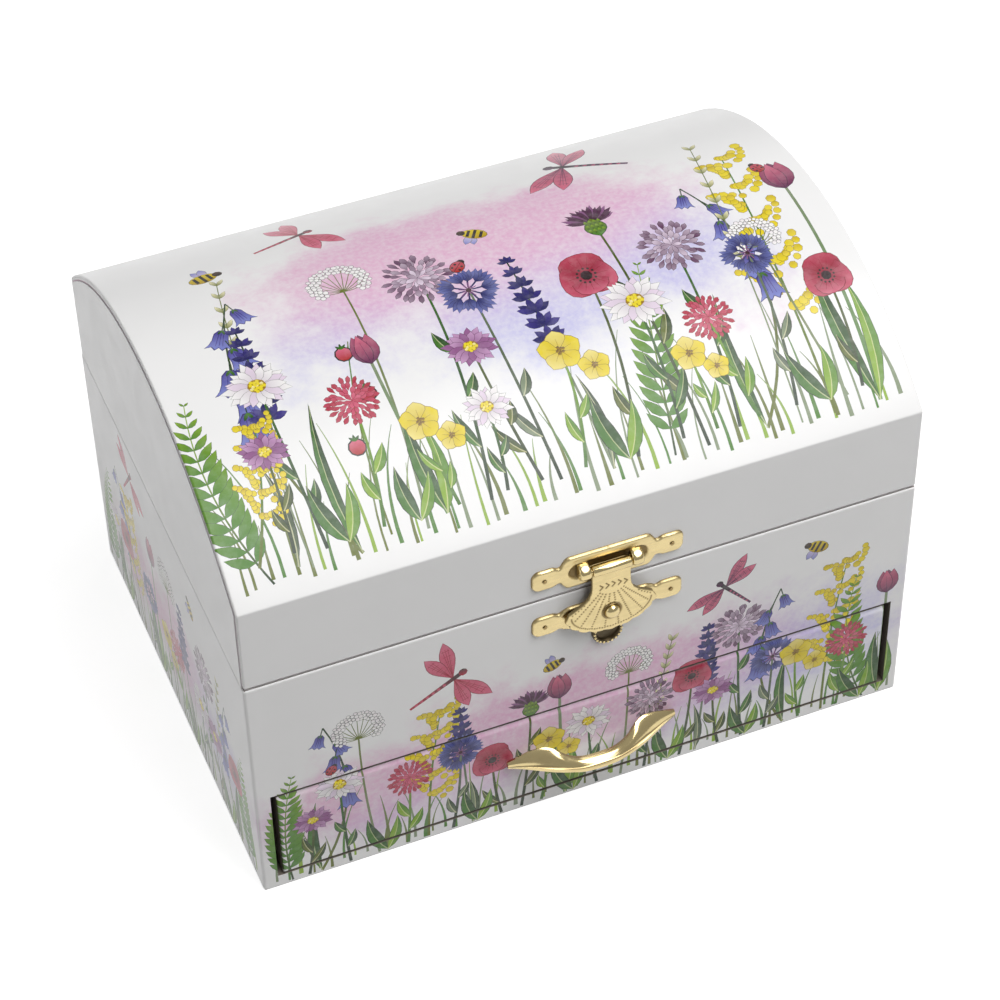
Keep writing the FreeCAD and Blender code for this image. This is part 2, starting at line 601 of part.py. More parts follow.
# Barrel, great wheel and the spring wound inside.
bx, bz, cx, cz = num("barrel_x"), num("barrel_z"), num("cyl_x"), num("cyl_z")
fx, fz = num("fly_x"), num("fly_z")
cup = rod("barrel_cup", "y", "barrel_r", ("barrel_x", "barrel_front", "barrel_z"), "great_face - barrel_front")
cup_in = rod("barrel_in", "y", "barrel_r - barrel_skin", ("barrel_x", "barrel_front + barrel_skin", "barrel_z"), "30")
cup_bore = rod("barrel_bore", "y", "key_r + running", ("barrel_x", "barrel_front - 1", "barrel_z"), "30")
node(cut("spring_barrel", cup, [cup_in, cup_bore]))
toward = math.atan2(cz - bz, cx - bx)
great_at, great_thick = num("great_face"), num("great_thick")
great = wheel(int(num("wheel_great")), great_at, great_thick, bx, bz, toward, num("key_r + running"))
node(solid("great_wheel", great))


def coil_strip(x, y, z, inner, pitch, halves, thick, wide):
    """A spiral strip of half circles, wound about an axis along Y."""
    edges_out = []
    edges_in = []
    for k in range(halves):
        radius = inner + pitch * k / 2
        centre = pitch / 4 if k % 2 else -pitch / 4
        way = 1 if k % 2 == 0 else -1
        for offset, store in ((0, edges_in), (thick, edges_out)):
            r = radius + offset
            a = V(x + centre + way * r, y, z)
            m = V(x + centre, y, z + way * r)
            b = V(x + centre - way * r, y, z)
            store.append(Part.Arc(a, m, b).toShape())
    cap_a = Part.makeLine(edges_in[0].valueAt(edges_in[0].FirstParameter),
                          edges_out[0].valueAt(edges_out[0].FirstParameter))
    cap_b = Part.makeLine(edges_in[-1].valueAt(edges_in[-1].LastParameter),
                          edges_out[-1].valueAt(edges_out[-1].LastParameter))
    ring = Part.Wire(Part.__sortEdges__(edges_in + [cap_b] + edges_out + [cap_a]))
    return Part.Face(ring).extrude(V(0, wide, 0))


strip_at = num("barrel_front + barrel_skin + strip_room")
strip_in = num("key_r + strip_core")
strip_halves = int(2 * (num("barrel_r - barrel_skin - strip_wall") - strip_in) / num("coil_step"))
strip_wide = great_at - num("wheel_gap") - strip_at
strip = coil_strip(bx, strip_at, bz, strip_in, num("coil_step"), strip_halves, num("strip"), strip_wide)
node(solid("mainspring", strip))

# Winding arbor and key, through a brass bush in the back.
ARBOR_FROM = "plate_front - 0.6"
ARBOR_LONG = "half_d + key_deep - (%s)" % ARBOR_FROM
node(rod("winding_arbor", "y", "key_r", ("barrel_x", ARBOR_FROM, "barrel_z"), ARBOR_LONG))
hub = rod("key_hub", "y", "key_hub_r", ("barrel_x", "half_d + key_stand", "barrel_z"), "key_hub_long")
wings = plate("key_wings", "XY_Plane", "barrel_z - key_plate / 2", "key_plate", [
    ("barrel_x - 2.2", "half_d + 6.4"),
    ("barrel_x + 2.2", "half_d + 6.4"),
    ("barrel_x + 9.5", "half_d + 8.2", "5.2"),
    ("barrel_x + 6.5", "half_d + 17.2"),
    ("barrel_x", "half_d + 13.4"),
    ("barrel_x - 6.5", "half_d + 17.2", "5.2"),
    ("barrel_x - 9.5", "half_d + 8.2"),
])
key_blank = fuse("key_blank", [hub, wings])
key_holes = [rod("key_socket", "y", "key_r + snug", ("barrel_x", "half_d", "barrel_z"), "key_deep + key_end")]
for i, side in enumerate(("-", "+")):
    spot = ("barrel_x %s 6.6" % side, "half_d + 12.2", "barrel_z - 2 * key_plate")
    key_holes.append(rod("key_eye_%d" % i, "z", "key_eye", spot, "4 * key_plate"))
node(cut("winding_key", key_blank, key_holes))
bush_tube = rod("bush_tube", "y", "key_bush_r - snug", ("barrel_x", "inner_y", "barrel_z"), "half_d - inner_y")
bush_rim = rod("key_bush_rim", "y", "key_bush_r + key_rim", ("barrel_x", "half_d", "barrel_z"), "key_rim_sheet")
bush_bore = rod("bush_bore", "y", "key_r + running", ("barrel_x", "inner_y - 2", "barrel_z"), "10")
node(cut("key_bush", fuse("bush_blank", [bush_tube, bush_rim]), [bush_bore]))

# Tune cylinder with its rows of pins, its arbor with the driving pinion,
# the governor wheel, the friction roller and the fly.
drum = Part.makeCylinder(num("drum_r"), num("drum_long"), V(cx, num("drum_front"), cz), V(0, 1, 0))
core = Part.makeCylinder(num("arbor_r + snug"), num("drum_long") + 2, V(cx, num("drum_front") - 1, cz), V(0, 1, 0))
pins = []
for row in range(teeth):
    y = num("drum_front + (%d + 0.5) * drum_long / %d" % (row, teeth))
    for k in range(int(num("pin_count"))):
        angle = math.radians((row * 47 + k * 61 + (row * k) % 5 * 9) % 360 + 0.7)
        way = V(math.cos(angle), 0, math.sin(angle))
        root = V(cx, y, cz) + way * num("drum_r - pin_root")
        pins.append(Part.makeCylinder(num("pin_r"), num("pin_high + pin_root"), root, way))
node(solid("tune_cylinder", drum.cut(core).multiFuse(pins)))

pinion_count = int(num("wheel_pinion"))
phase = toward + math.pi + math.pi / pinion_count
pinion = wheel(pinion_count, great_at, great_thick, cx, cz, phase, 0)
arbor_from = num("roller_y - roller_wide")
arbor_to = num("plate_rear + frame_sheet + 1")
arbor = Part.makeCylinder(num("arbor_r"), arbor_to - arbor_from, V(cx, arbor_from, cz), V(0, 1, 0))
node(solid("cylinder_arbor", arbor.fuse(pinion)))
outward = math.atan2(fz - cz, fx - cx)
fly_at, fly_thick = num("fly_face"), num("fly_thick")
governor = wheel(int(num("wheel_governor")), fly_at, fly_thick, cx, cz, outward, num("arbor_r + snug"))
node(solid("governor_wheel", governor))
roller_rim = rod("roller_rim", "y", "roller_r", ("cyl_x", "roller_y - roller_wide / 2", "cyl_z"), "roller_wide")
roller_bore = rod("roller_bore", "y", "arbor_r + snug", ("cyl_x", "roller_y - 5", "cyl_z"), "10")
node(cut("friction_roller", roller_rim, [roller_bore]))

leaves = int(num("wheel_fly"))
leaf = wheel(leaves, fly_at, fly_thick, fx, fz, outward + math.pi + math.pi / leaves, 0)
axle_from = num("plate_front - 0.4")
axle = Part.makeCylinder(num("fly_axle"), arbor_to - axle_from, V(fx, axle_from, fz), V(0, 1, 0))
vane_sheet = num("vane_sheet")
vane_spot = V(fx - num("fly_r"), num("plate_rear - vane_sheet - fly_long"), fz - vane_sheet / 2)
vane = Part.makeBox(num("2 * fly_r"), num("fly_long"), vane_sheet, vane_spot)
node(solid("fly_governor", axle.multiFuse([leaf, vane])))

# Stop wire: pressed down by the closed lid, its foot rests over the fly.
stop_at, stop_z, stop_to = num("stop_y"), num("stop_arm"), num("stop_reach")
wire = num("stop_wire_r")
post_from = stop_z - num("stop_r")
post = Part.makeCylinder(num("stop_r"), num("lid_foot") - num("running") - post_from, V(fx, stop_at, post_from))
arm = Part.makeCylinder(wire, stop_at - stop_to, V(fx, stop_to, stop_z), V(0, 1, 0))
elbow = Part.makeSphere(wire, V(fx, stop_to, stop_z))
foot = Part.makeCylinder(wire, stop_z - num("stop_foot"), V(fx, stop_to, num("stop_foot")))
node(solid("stop_wire", post.multiFuse([arm, elbow, foot])))

# The dancer's drive: friction disc, spindle, bearings, turntable and spring.
disc = rod("disc_rim", "z", "disc_r", ("0", "dancer_y", "disc_under"), "disc_sheet")
disc_bore = rod("disc_bore", "z", "spindle_r + snug", ("0", "dancer_y", "disc_under - 2"), "6")
node(cut("friction_disc", disc, [disc_bore]))
SPINDLE_FOOT = "shelf_top + spindle_lift"
SPINDLE_LONG = "table_top - (%s)" % SPINDLE_FOOT
node(rod("dancer_spindle", "z", "spindle_r", ("0", "dancer_y", SPINDLE_FOOT), SPINDLE_LONG))
table = rod("table_rim", "z", "table_r", ("0", "dancer_y", "table_under"), "table_top - table_under")
table_bore = rod("table_bore", "z", "spindle_r + snug", ("0", "dancer_y", "table_under - 2"), "9")
node(cut("turntable", table, [table_bore]))
deck_bush = fuse("deck_bush_blank", [
    rod("deck_bush_tube", "z", "bush_r - snug", ("0", "dancer_y", "deck_under"), "deck_top + cloth - deck_under"),
    rod("deck_bush_rim", "z", "bush_rim", ("0", "dancer_y", "deck_top + cloth"), "bush_lip"),
])
deck_bore = rod("deck_bore", "z", "spindle_r + running", ("0", "dancer_y", "deck_under - 2"), "9")
top_bush = cut("deck_bush", deck_bush, [deck_bore])
step = rod("step_rim", "z", "step_r", ("0", "dancer_y", "shelf_top"), "step_tall")
step_bore = rod("step_bore", "z", "spindle_r + running", ("0", "dancer_y", "shelf_top - 1"), "6")
node(group("spindle_bearings", [top_bush, cut("step_bearing", step, [step_bore])]))


def biarc(a, da, b, db):
    """Two arcs that join two points with their headings."""
    span = b - a
    both = da + db
    square = 2 * (1 - da.dot(db))
    along = span.dot(both)
    if abs(square) < 1e-9:
        reach = span.dot(span) / (2 * along)
    else:
        reach = (-along + math.sqrt(along ** 2 + span.dot(span) * square)) / square
    p = a + da * reach
    q = b - db * reach
    joint = (p + q) * 0.5
    turn = (q - p).normalize()
    return [arc_by_heading(a, da, joint), arc_by_heading(joint, turn, b)], joint


def arc_by_heading(a, heading, b):
    """The arc that leaves one point with a heading and ends at another."""
    span = b - a
    side = span - heading * span.dot(heading)
    if side.Length < 1e-7:
        return Part.makeLine(a, b)
    side.normalize()
    radius = span.dot(span) / (2 * span.dot(side))
    centre = a + side * radius
    middle = centre + ((a - centre) + (b - centre)).normalize() * radius
    if (middle - a).dot(heading) < 0:
        middle = centre - (middle - centre)
    return Part.Arc(a, middle, b).toShape()


def spring(x, y, low, high, radius, wire, pitch, turns):
    """An upright coil whose ends stand straight on what they meet."""
    stub = 2 * wire
    bend = num("coil_bend")
    rise = pitch * turns
    start = low + stub + bend
    edges = [Part.makeLine(V(x + radius, y, low), V(x + radius, y, low + stub))]
    here = V(x + radius, y, low + stub)
    heading = V(0, 0, 1)
    steps = turns * 4
    lead = bend / radius
    slope = pitch / (2 * math.pi)
    for k in range(steps + 1):
        angle = lead + k * math.pi / 2
        there = V(x + radius * math.cos(angle), y + radius * math.sin(angle), start + rise * k / steps)
        way = V(-radius * math.sin(angle), radius * math.cos(angle), slope).normalize()
        pair, joint = biarc(here, heading, there, way)
        edges += pair
        here, heading = there, way
    angle = lead + steps * math.pi / 2 + lead
    there = V(x + radius * math.cos(angle), y + radius * math.sin(angle), high - stub)
    pair, joint = biarc(here, heading, there, V(0, 0, 1))
    edges += pair
    edges.append(Part.makeLine(there, V(there.x, there.y, high)))
    path = Part.Wire(edges)
    ring = Part.Wire([Part.Circle(V(x + radius, y, low), V(0, 0, 1), wire).toShape()])
    body = path.makePipeShell([ring], True, False)
    return body, path


coil, coil_path = spring(0, num("dancer_y"), num("table_top"), num("sole"), num("coil_r"), num("wire_r"),
                         num("coil_pitch"), int(num("coil_turns")))
node(solid("dancer_spring", coil))
spots = coil_path.discretize(Number=600)
lengths = [0.0]
for a, b in zip(spots, spots[1:]):
    lengths.append(lengths[-1] + (b - a).Length)
apart = 9.0
for i in range(len(spots)):
    for j in range(i + 1, len(spots)):
        if lengths[j] - lengths[i] > 4.0:
            apart = min(apart, (spots[i] - spots[j]).Length)
print("dancer spring: least gap to itself %.2f mm" % (apart - 2 * num("wire_r")))

# The dancer: one moulded figure on a foot disc, with a separate tutu.
dy, sole = num("dancer_y"), num("sole")
grow = num("dancer_tall") / 31.85


def limb(a, b, ra, rb):
    """A tapered limb with round ends."""
    a, b = V(*a) * grow + V(0, dy, sole), V(*b) * grow + V(0, dy, sole)
    way = b - a
    bar = Part.makeCone(ra * grow, rb * grow, way.Length, a, way)
    return [bar, Part.makeSphere(ra * grow, a), Part.makeSphere(rb * grow, b)]


foot_disc = Part.makeCylinder(3.5, 0.9, V(0, dy, sole), V(0, 0, 1))
figure = [foot_disc]
figure += limb((0, 0, 1.2), (0, 0, 5.6), 0.6, 1.1)
figure += limb((0, 0, 5.6), (0.2, 0, 12.4), 1.1, 1.45)
figure += limb((0.9, -0.2, 12.4), (5.6, -1.8, 9.8), 1.4, 1.0)
figure += limb((5.6, -1.8, 9.8), (1.2, -1.2, 5.6), 1.0, 0.55)
figure += limb((0.3, 0, 12.6), (0.2, 0, 15.6), 2.1, 1.55)
figure += limb((0.2, 0, 15.6), (0.2, 0, 18.6), 1.55, 2.1)
figure += limb((0.2, 0, 19.4), (0.2, 0, 22.0), 0.85, 0.8)
for side in (-1, 1):
    figure += limb((0.2 + side * 2.1, 0, 19.2), (0.2 + side * 5.0, -0.4, 24.2), 0.8, 0.65)
    figure += limb((0.2 + side * 5.0, -0.4, 24.2), (0.2 + side * 1.3, -0.8, 31.4), 0.65, 0.45)
head = Part.makeSphere(2.15 * grow, V(0.2, dy - 0.1, sole + 23.6 * grow))
bun = Part.makeSphere(1.1 * grow, V(0.2, dy + 0.9 * grow, sole + 25.9 * grow))
figure += [head, bun]
node(solid("dancer_figure", figure[0].multiFuse(figure[1:]).removeSplitter()))
waist = 0.2 * grow
tutu_in, tutu_low, tutu_rim = waist + 2.0 * grow, sole + 13.9 * grow, num("tutu_r")
skirt = Part.makePolygon([
    V(tutu_in, dy, tutu_low + 0.9),
    V(tutu_in, dy, tutu_low + 2.0),
    V(tutu_rim - 3, dy, tutu_low + 1.7),
    V(tutu_rim, dy, tutu_low + 0.7),
    V(tutu_rim - 0.6, dy, tutu_low - 0.1),
    V(tutu_rim - 4, dy, tutu_low + 0.3),
    V(tutu_in, dy, tutu_low + 0.9),
])
node(solid("tutu", Part.Face(skirt).revolve(V(waist, dy, 0), V(0, 0, 1), 360)))

# The lid: two shaped ends, front and back walls and a bent roof.
SEGMENT = "sqrt(roof_in ^ 2 - (crease - dome_z) ^ 2)"
END = [
    ("-wall_y", "lid_foot"),
    ("wall_y", "lid_foot"),
    ("wall_y", "crease"),
    (SEGMENT, "crease", "roof_in"),
    ("-(%s)" % SEGMENT, "crease"),
    ("-wall_y", "crease"),
]
node(plate("lid_left_end", "YZ_Plane", "-wall_x", "lid_board", END))
node(plate("lid_right_end", "YZ_Plane", "lid_in_x", "lid_board", END))
LID_X = ("-lid_in_x", "lid_in_x")
LID_Z = ("lid_foot", "crease")
node(block("lid_front_wall", LID_X, ("-wall_y", "lid_board - wall_y"), LID_Z))
node(block("lid_back_wall", LID_X, ("wall_y - lid_board", "wall_y"), LID_Z))


def arch(name, half, outer, inner, y, z):
    """A bent sheet along X between two radii of the roof, kept inside limits."""
    big = rod(name + "_outer", "x", outer, ("-(%s)" % half, "0", "dome_z"), "2 * (%s)" % half)
    hole = rod(name + "_inner", "x", inner, ("-(%s) - 1" % half, "0", "dome_z"), "2 * (%s) + 2" % half)
    keep = block(name + "_keep", ("-(%s)" % half, half), y, z)
    return common(name, [cut(name + "_shell", big, [hole]), keep])


node(arch("lid_roof", "wall_x", "dome_r - paper", "roof_in", ("-half_d", "half_d"), ("crease", "crest")))
node(arch("lid_lining", "lid_in_x - soft_room", "roof_in - lining_gap", "roof_in - lid_pad",
          ("-lining_half", "lining_half"), ("crease", "crest")))

hull_box = block("wrap_box", ("-wall_x", "wall_x"), ("-half_d", "half_d"), ("lid_foot", "crest"))
hull_arc = rod("wrap_arc", "x", "dome_r", ("-wall_x", "0", "dome_z"), "2 * wall_x")
OVER = ("-half_w", "half_w")
low_hole = block("wrap_low_hole", OVER, SIDE, ("lid_foot - 1", "crease"))
high_box = block("wrap_high_box", OVER, SIDE, ("crease", "crest"))
high_arc = rod("wrap_high_arc", "x", "dome_r - paper", ("-half_w", "0", "dome_z"), "case_width")
hollow = fuse("wrap_hollow", [low_hole, common("wrap_high_hole", [high_box, high_arc])])
cover = cut("lid_cover", common("wrap_hull", [hull_box, hull_arc]), [hollow])
sheets = [cover]
for side, x in (("left", ("-half_w", "-wall_x")), ("right", ("wall_x", "half_w"))):
    flat = block("end_box_" + side, x, ("end_inset - half_d", "half_d - end_inset"), ("lid_foot + end_foot", "crest"))
    bow = rod("end_arc_" + side, "x", "dome_r - end_arc", ("-half_w - 1", "0", "dome_z"), "case_width + 2")
    sheets.append(common("end_paper_" + side, [flat, bow]))
node(group("lid_wrap", sheets))

frame_box = block("mirror_box", ("-mirror_half_x", "mirror_half_x"), ("-mirror_half_y", "mirror_half_y"),
                  ("mirror_under", "mirror_top"))
BED_X, BED_Y = "(mirror_half_x - mirror_rim)", "(mirror_half_y - mirror_rim)"
frame_bed = block("mirror_bed", ("-" + BED_X, BED_X), ("-" + BED_Y, BED_Y),
                  ("mirror_under - 1", "mirror_top - mirror_back"))
node(cut("mirror_frame", frame_box, [frame_bed]))
GLASS_X = "(mirror_half_x - mirror_rim - glass_room)"
GLASS_Y = "(mirror_half_y - mirror_rim - glass_room)"
node(block("mirror_glass", ("-" + GLASS_X, GLASS_X), ("-" + GLASS_Y, GLASS_Y),
           ("mirror_top - mirror_back - mirror_sheet", "mirror_top - mirror_back")))

# Lid hinges: folded leaves nailed to the back, with their pins.
HINGE_Y = "half_d + hinge_out"
case_leaves = []
lid_leaves = []
case_nails = []
lid_nails = []


def domed(dome, sunk, shank, long):
    """A pin along Z with its domed head above the seat at zero."""
    above = Part.makeBox(4 * dome, 4 * dome, 2 * dome, V(-2 * dome, -2 * dome, 0))
    head = Part.makeSphere(dome, V(0, 0, -sunk)).common(above)
    return head.fuse(Part.makeCylinder(shank, long, V(0, 0, -long)))


def nail(name, face, x, z, way):
    """A round-headed nail; its head stands out of the face, way is 1 at the back, -1 in front."""
    shape = domed(num("nail_dome"), num("nail_sunk"), num("nail_r"), num("nail_long"))
    shape.Placement = FreeCAD.Placement(V(num(x), way * num(face), num(z)), FreeCAD.Rotation(V(1, 0, 0), -90 * way))
    return solid(name, shape)


for side, sign in (("left", "-"), ("right", "")):
    mid = "%shinge_x" % sign
    span = ("%s - hinge_half" % mid, "%s + hinge_half" % mid)
    leaf_y = ("half_d", "half_d + hinge_sheet")
    web_y = ("half_d + 0.15", "half_d + hinge_sheet")
    pieces = [block("leaf_low_" + side, span, leaf_y, ("hinge_z - leaf_far", "hinge_z - leaf_near"))]
    wide = "hinge_half - knuckle_in"
    for k, shift in enumerate(("- hinge_half", "+ knuckle_in")):
        start = "%s %s" % (mid, shift)
        pieces.append(rod("knuckle_%s_%d" % (side, k), "x", "hinge_r", (start, HINGE_Y, "hinge_z"), wide))
        pieces.append(block("web_%s_%d" % (side, k), (start, "%s + %s" % (start, wide)), web_y,
                            ("hinge_z - leaf_near - 0.1", "hinge_z")))
    through = ("%s - 2 * hinge_half" % mid, HINGE_Y, "hinge_z")
    holes = [rod("pin_hole_" + side, "x", "hinge_pin + snug", through, "4 * hinge_half")]
    for k, shift in enumerate(("- leaf_nail_x", "+ leaf_nail_x")):
        spot = ("%s %s" % (mid, shift), "half_d - 1", "hinge_z - leaf_nail")
        holes.append(rod("leaf_hole_%s_%d" % (side, k), "y", "nail_r + snug", spot, "4"))
        case_nails.append(nail("nail_low_%s_%d" % (side, k), "half_d + hinge_sheet", spot[0], spot[2], 1))
    case_leaves.append(cut("case_leaf_" + side, fuse("case_leaf_blank_" + side, pieces), holes))
    case_leaves.append(rod("hinge_pin_" + side, "x", "hinge_pin", (span[0], HINGE_Y, "hinge_z"), "2 * hinge_half"))
    pieces = [block("leaf_high_" + side, span, leaf_y, ("hinge_z + leaf_near", "hinge_z + leaf_far"))]
    start = "%s - knuckle_mid" % mid
    pieces.append(rod("knuckle_mid_" + side, "x", "hinge_r", (start, HINGE_Y, "hinge_z"), "2 * knuckle_mid"))
    pieces.append(block("web_mid_" + side, (start, "%s + knuckle_mid" % mid), web_y,
                        ("hinge_z", "hinge_z + leaf_near + 0.1")))
    holes = [rod("pin_run_" + side, "x", "hinge_pin + running", through, "4 * hinge_half")]
    for k, shift in enumerate(("- leaf_nail_x", "+ leaf_nail_x")):
        spot = ("%s %s" % (mid, shift), "half_d - 1", "hinge_z + leaf_nail")
        holes.append(rod("lid_hole_%s_%d" % (side, k), "y", "nail_r + snug", spot, "4"))
        lid_nails.append(nail("nail_high_%s_%d" % (side, k), "half_d + hinge_sheet", spot[0], spot[2], 1))
    lid_leaves.append(cut("lid_leaf_" + side, fuse("lid_leaf_blank_" + side, pieces), holes))
node(group("hinge_case_leaves", case_leaves))
node(group("hinge_lid_leaves", lid_leaves))

# The hasp: two waisted plates, a shell flap on a pin, and a round socket.
NAIL_X = "hasp_half - hasp_end + 0.3"


def waisted(z, tall):
    """Outline of a hasp plate: round ends, a narrow waist and a taller middle."""
    half = [
        ("hasp_mid", tall, None),
        ("hasp_mid", "hasp_waist", None),
        ("hasp_half - hasp_end", "hasp_end", "hasp_end"),
        ("hasp_half", "0", "hasp_end"),
    ]
    corners = []
    for turn_x, turn_z in (("+", "-"), ("+", "+"), ("-", "+"), ("-", "-")):
        quarter = half if turn_x != turn_z else half[:3][::-1]
        for u, v, bend in quarter:
            spot = ["hasp_x %s (%s)" % (turn_x, u), "%s %s (%s)" % (z, turn_z, v)]
            if bend and turn_x != turn_z:
                spot.append(bend)
            corners.append(tuple(spot))
    return corners


FLAP_Y = "-half_d - flap_out"
top_plate = plate("hasp_top", "XZ_Plane", "half_d", "hasp_sheet", waisted("hasp_z", "hasp_tall"))
pieces = [top_plate]
LOOP_IN = "flap_neck + 0.4"
for k, start in enumerate(("hasp_x - (%s) - loop_wide" % LOOP_IN, "hasp_x + %s" % LOOP_IN)):
    pieces.append(rod("loop_%d" % k, "x", "loop_r", (start, FLAP_Y, "flap_z"), "loop_wide"))
    pieces.append(block("loop_web_%d" % k, (start, "%s + loop_wide" % start), (FLAP_Y, "-half_d - hasp_sheet / 2"),
                        ("flap_z - loop_r + 0.2", "flap_z + loop_r - 0.2")))
holes = [rod("loop_bore", "x", "flap_pin_r + snug", ("hasp_x - hasp_half", FLAP_Y, "flap_z"), "2 * hasp_half")]
for k, sign in enumerate(("-", "+")):
    spot = ("hasp_x %s (%s)" % (sign, NAIL_X), "-half_d - 4", "hasp_z")
    holes.append(rod("top_hole_%d" % k, "y", "nail_r + snug", spot, "8"))
    lid_nails.append(nail("nail_top_%d" % k, "half_d + hasp_sheet", spot[0], spot[2], -1))
plate_cut = cut("hasp_top_cut", fuse("hasp_top_blank", pieces), holes)
PIN_HALF = "(%s + loop_wide)" % LOOP_IN
flap_pin = rod("flap_pin", "x", "flap_pin_r", ("hasp_x - %s" % PIN_HALF, FLAP_Y, "flap_z"), "2 * %s" % PIN_HALF)
node(group("hasp_upper_plate", [plate_cut, flap_pin]))

low_blank = plate("hasp_bottom", "XZ_Plane", "half_d", "hasp_sheet", waisted("hasp_low", "hasp_short"))
holes = []
for k, sign in enumerate(("-", "+")):
    spot = ("hasp_x %s (%s)" % (sign, NAIL_X), "-half_d - 4", "hasp_low")
    holes.append(rod("low_hole_%d" % k, "y", "nail_r + snug", spot, "8"))
    case_nails.append(nail("nail_bottom_%d" % k, "half_d + hasp_sheet", spot[0], spot[2], -1))
node(cut("hasp_lower_plate", low_blank, holes))
ring = rod("socket_rim", "y", "socket_r", ("hasp_x", "-half_d - socket_out", "socket_z"), "socket_out")
WELL_SPOT = ("hasp_x", "-half_d - 2 * socket_out", "socket_z")
well = rod("socket_well", "y", "socket_in", WELL_SPOT, "2 * socket_out - socket_sheet")
node(cut("hasp_socket", ring, [well]))


def shell_outline(face):
    """Outline of the shell flap seen from the front, with a scalloped foot."""
    x, top, wide, foot = num("hasp_x"), num("flap_z"), num("flap_wide_z"), num("flap_foot")
    half, neck = num("flap_half"), num("flap_neck")
    flare = [(neck, top), (neck, wide + 7.2), (neck + 1, wide + 4.6), (half - 2.1, wide + 2.2), (half, wide)]
    rim = []
    lobes = int(num("flap_lobes"))
    for k in range(lobes + 1):
        angle = math.pi * k / lobes
        rim.append((half * math.cos(angle), wide - (wide - foot) * math.sin(angle)))
    spots = [V(x + u, face, z) for u, z in flare]
    edges = [Part.makeLine(a, b) for a, b in zip(spots, spots[1:])]
    for (ua, za), (ub, zb) in zip(rim, rim[1:]):
        du, dz = ub - ua, zb - za
        mid = V(x + (ua + ub) / 2 - 0.18 * dz, face, (za + zb) / 2 + 0.18 * du)
        edges.append(Part.Arc(V(x + ua, face, za), mid, V(x + ub, face, zb)).toShape())
    back_spots = [V(x - u, face, z) for u, z in reversed(flare)]
    edges += [Part.makeLine(a, b) for a, b in zip(back_spots, back_spots[1:])]
    edges.append(Part.makeLine(back_spots[-1], spots[0]))
    return Part.Wire(edges)


sheet_metal = num("hasp_sheet")
flap_x, flap_y, flap_z = num("hasp_x"), num(FLAP_Y), num("flap_z")
flap_face = flap_y - sheet_metal / 2
neck = num("flap_neck")
blade = Part.Face(shell_outline(flap_face)).extrude(V(0, sheet_metal, 0))
curl = Part.makeCylinder(num("flap_curl"), 2 * neck, V(flap_x - neck, flap_y, flap_z), V(1, 0, 0))
bore = Part.makeCylinder(num("flap_pin_r + running"), 4 * neck, V(flap_x - 2 * neck, flap_y, flap_z), V(1, 0, 0))
knob_z = num("flap_wide_z") + 0.3
eye = Part.makeCylinder(num("knob_stem + snug"), 6, V(flap_x, flap_face - 2, knob_z), V(0, 1, 0))
node(solid("hasp_flap", blade.fuse(curl).cut(bore).cut(eye)))
ball = Part.makeSphere(num("knob_r"), V(flap_x, flap_face - 1.3, knob_z))
ball = ball.common(Part.makeBox(8, 8, 8, V(flap_x - 4, flap_face - 8, knob_z - 4)))
stem = Part.makeCylinder(num("knob_stem"), sheet_metal + 0.2, V(flap_x, flap_face - 0.2, knob_z), V(0, 1, 0))
node(solid("hasp_knob", ball.fuse(stem)))
node(group("case_nails", case_nails))
node(group("lid_nails", lid_nails))

# The drawer: a board front with its paper, two sides, back, floor and lining.
FRONT_X = ("side_gap - inner_x", "inner_x - side_gap")
FRONT_Z = ("drawer_foot", "drawer_top")
FRONT_IN = "front_board - wall_y"
node(block("drawer_front", FRONT_X, ("-wall_y", FRONT_IN), FRONT_Z))
node(block("drawer_wrap", FRONT_X, ("-half_d", "-wall_y"), FRONT_Z))
SIDE_OUT = "(inner_x - side_gap - drawer_inset)"
SIDE_IN = "(inner_x - side_gap - drawer_inset - drawer_side)"
LONG = (FRONT_IN, "drawer_end")
RISE = ("drawer_low", "drawer_rim")
left_side = block("drawer_side_left", ("-(%s)" % SIDE_OUT, "-(%s)" % SIDE_IN), LONG, RISE)
right_side = block("drawer_side_right", (SIDE_IN, SIDE_OUT), LONG, RISE)
node(group("drawer_sides", [left_side, right_side]))
BETWEEN = ("-(%s)" % SIDE_IN, SIDE_IN)
node(block("drawer_back", BETWEEN, ("drawer_end - drawer_side", "drawer_end"), RISE))
FLOOR_TOP = "drawer_low + drawer_bed"
node(block("drawer_floor", BETWEEN, (FRONT_IN, "drawer_end - drawer_side"), ("drawer_low", FLOOR_TOP)))
INSET = ("soft_room - (%s)" % SIDE_IN, "%s - soft_room" % SIDE_IN)
node(block("drawer_lining", INSET, ("%s + soft_room" % FRONT_IN, "drawer_end - drawer_side - soft_room"),
           (FLOOR_TOP, FLOOR_TOP + " + cloth")))

# The pull: a bowed band with pointed ends that lies on the front at its tips.
# Each station holds a share of the half length, then how far the upper and the
# lower edge stand out as shares of the reach, then their heights over the tips.
STATIONS = [
    (0.0, 0.86, 1.0, 1.1, -2.8),
    (0.2, 0.82, 0.98, 1.3, -2.6),
    (0.36, 0.66, 0.92, 2.0, -2.3),
    (0.5, 0.34, 0.82, 3.1, -1.9),
    (0.64, 0.21, 0.62, 3.0, -1.4),
    (0.82, 0.17, 0.37, 1.7, -0.9),
    (1.0, 0.14, 0.16, 0.5, -0.5),
]


def pull_section(station, sign):
    share, up_out, low_out, up_z, low_z = station
    x = sign * share * num("pull_half")
    face, reach, mid = -num("half_d"), num("pull_reach"), num("pull_z")
    upper = V(x, face - up_out * reach, mid + up_z)
    lower = V(x, face - low_out * reach, mid + low_z)
    run = (lower - upper).normalize()
    inward = V(0, -run.z, run.y)
    if inward.y < 0:
        inward = inward * -1
    shift = inward * num("pull_sheet")
    return Part.makePolygon([upper, lower, lower + shift, upper + shift, upper])


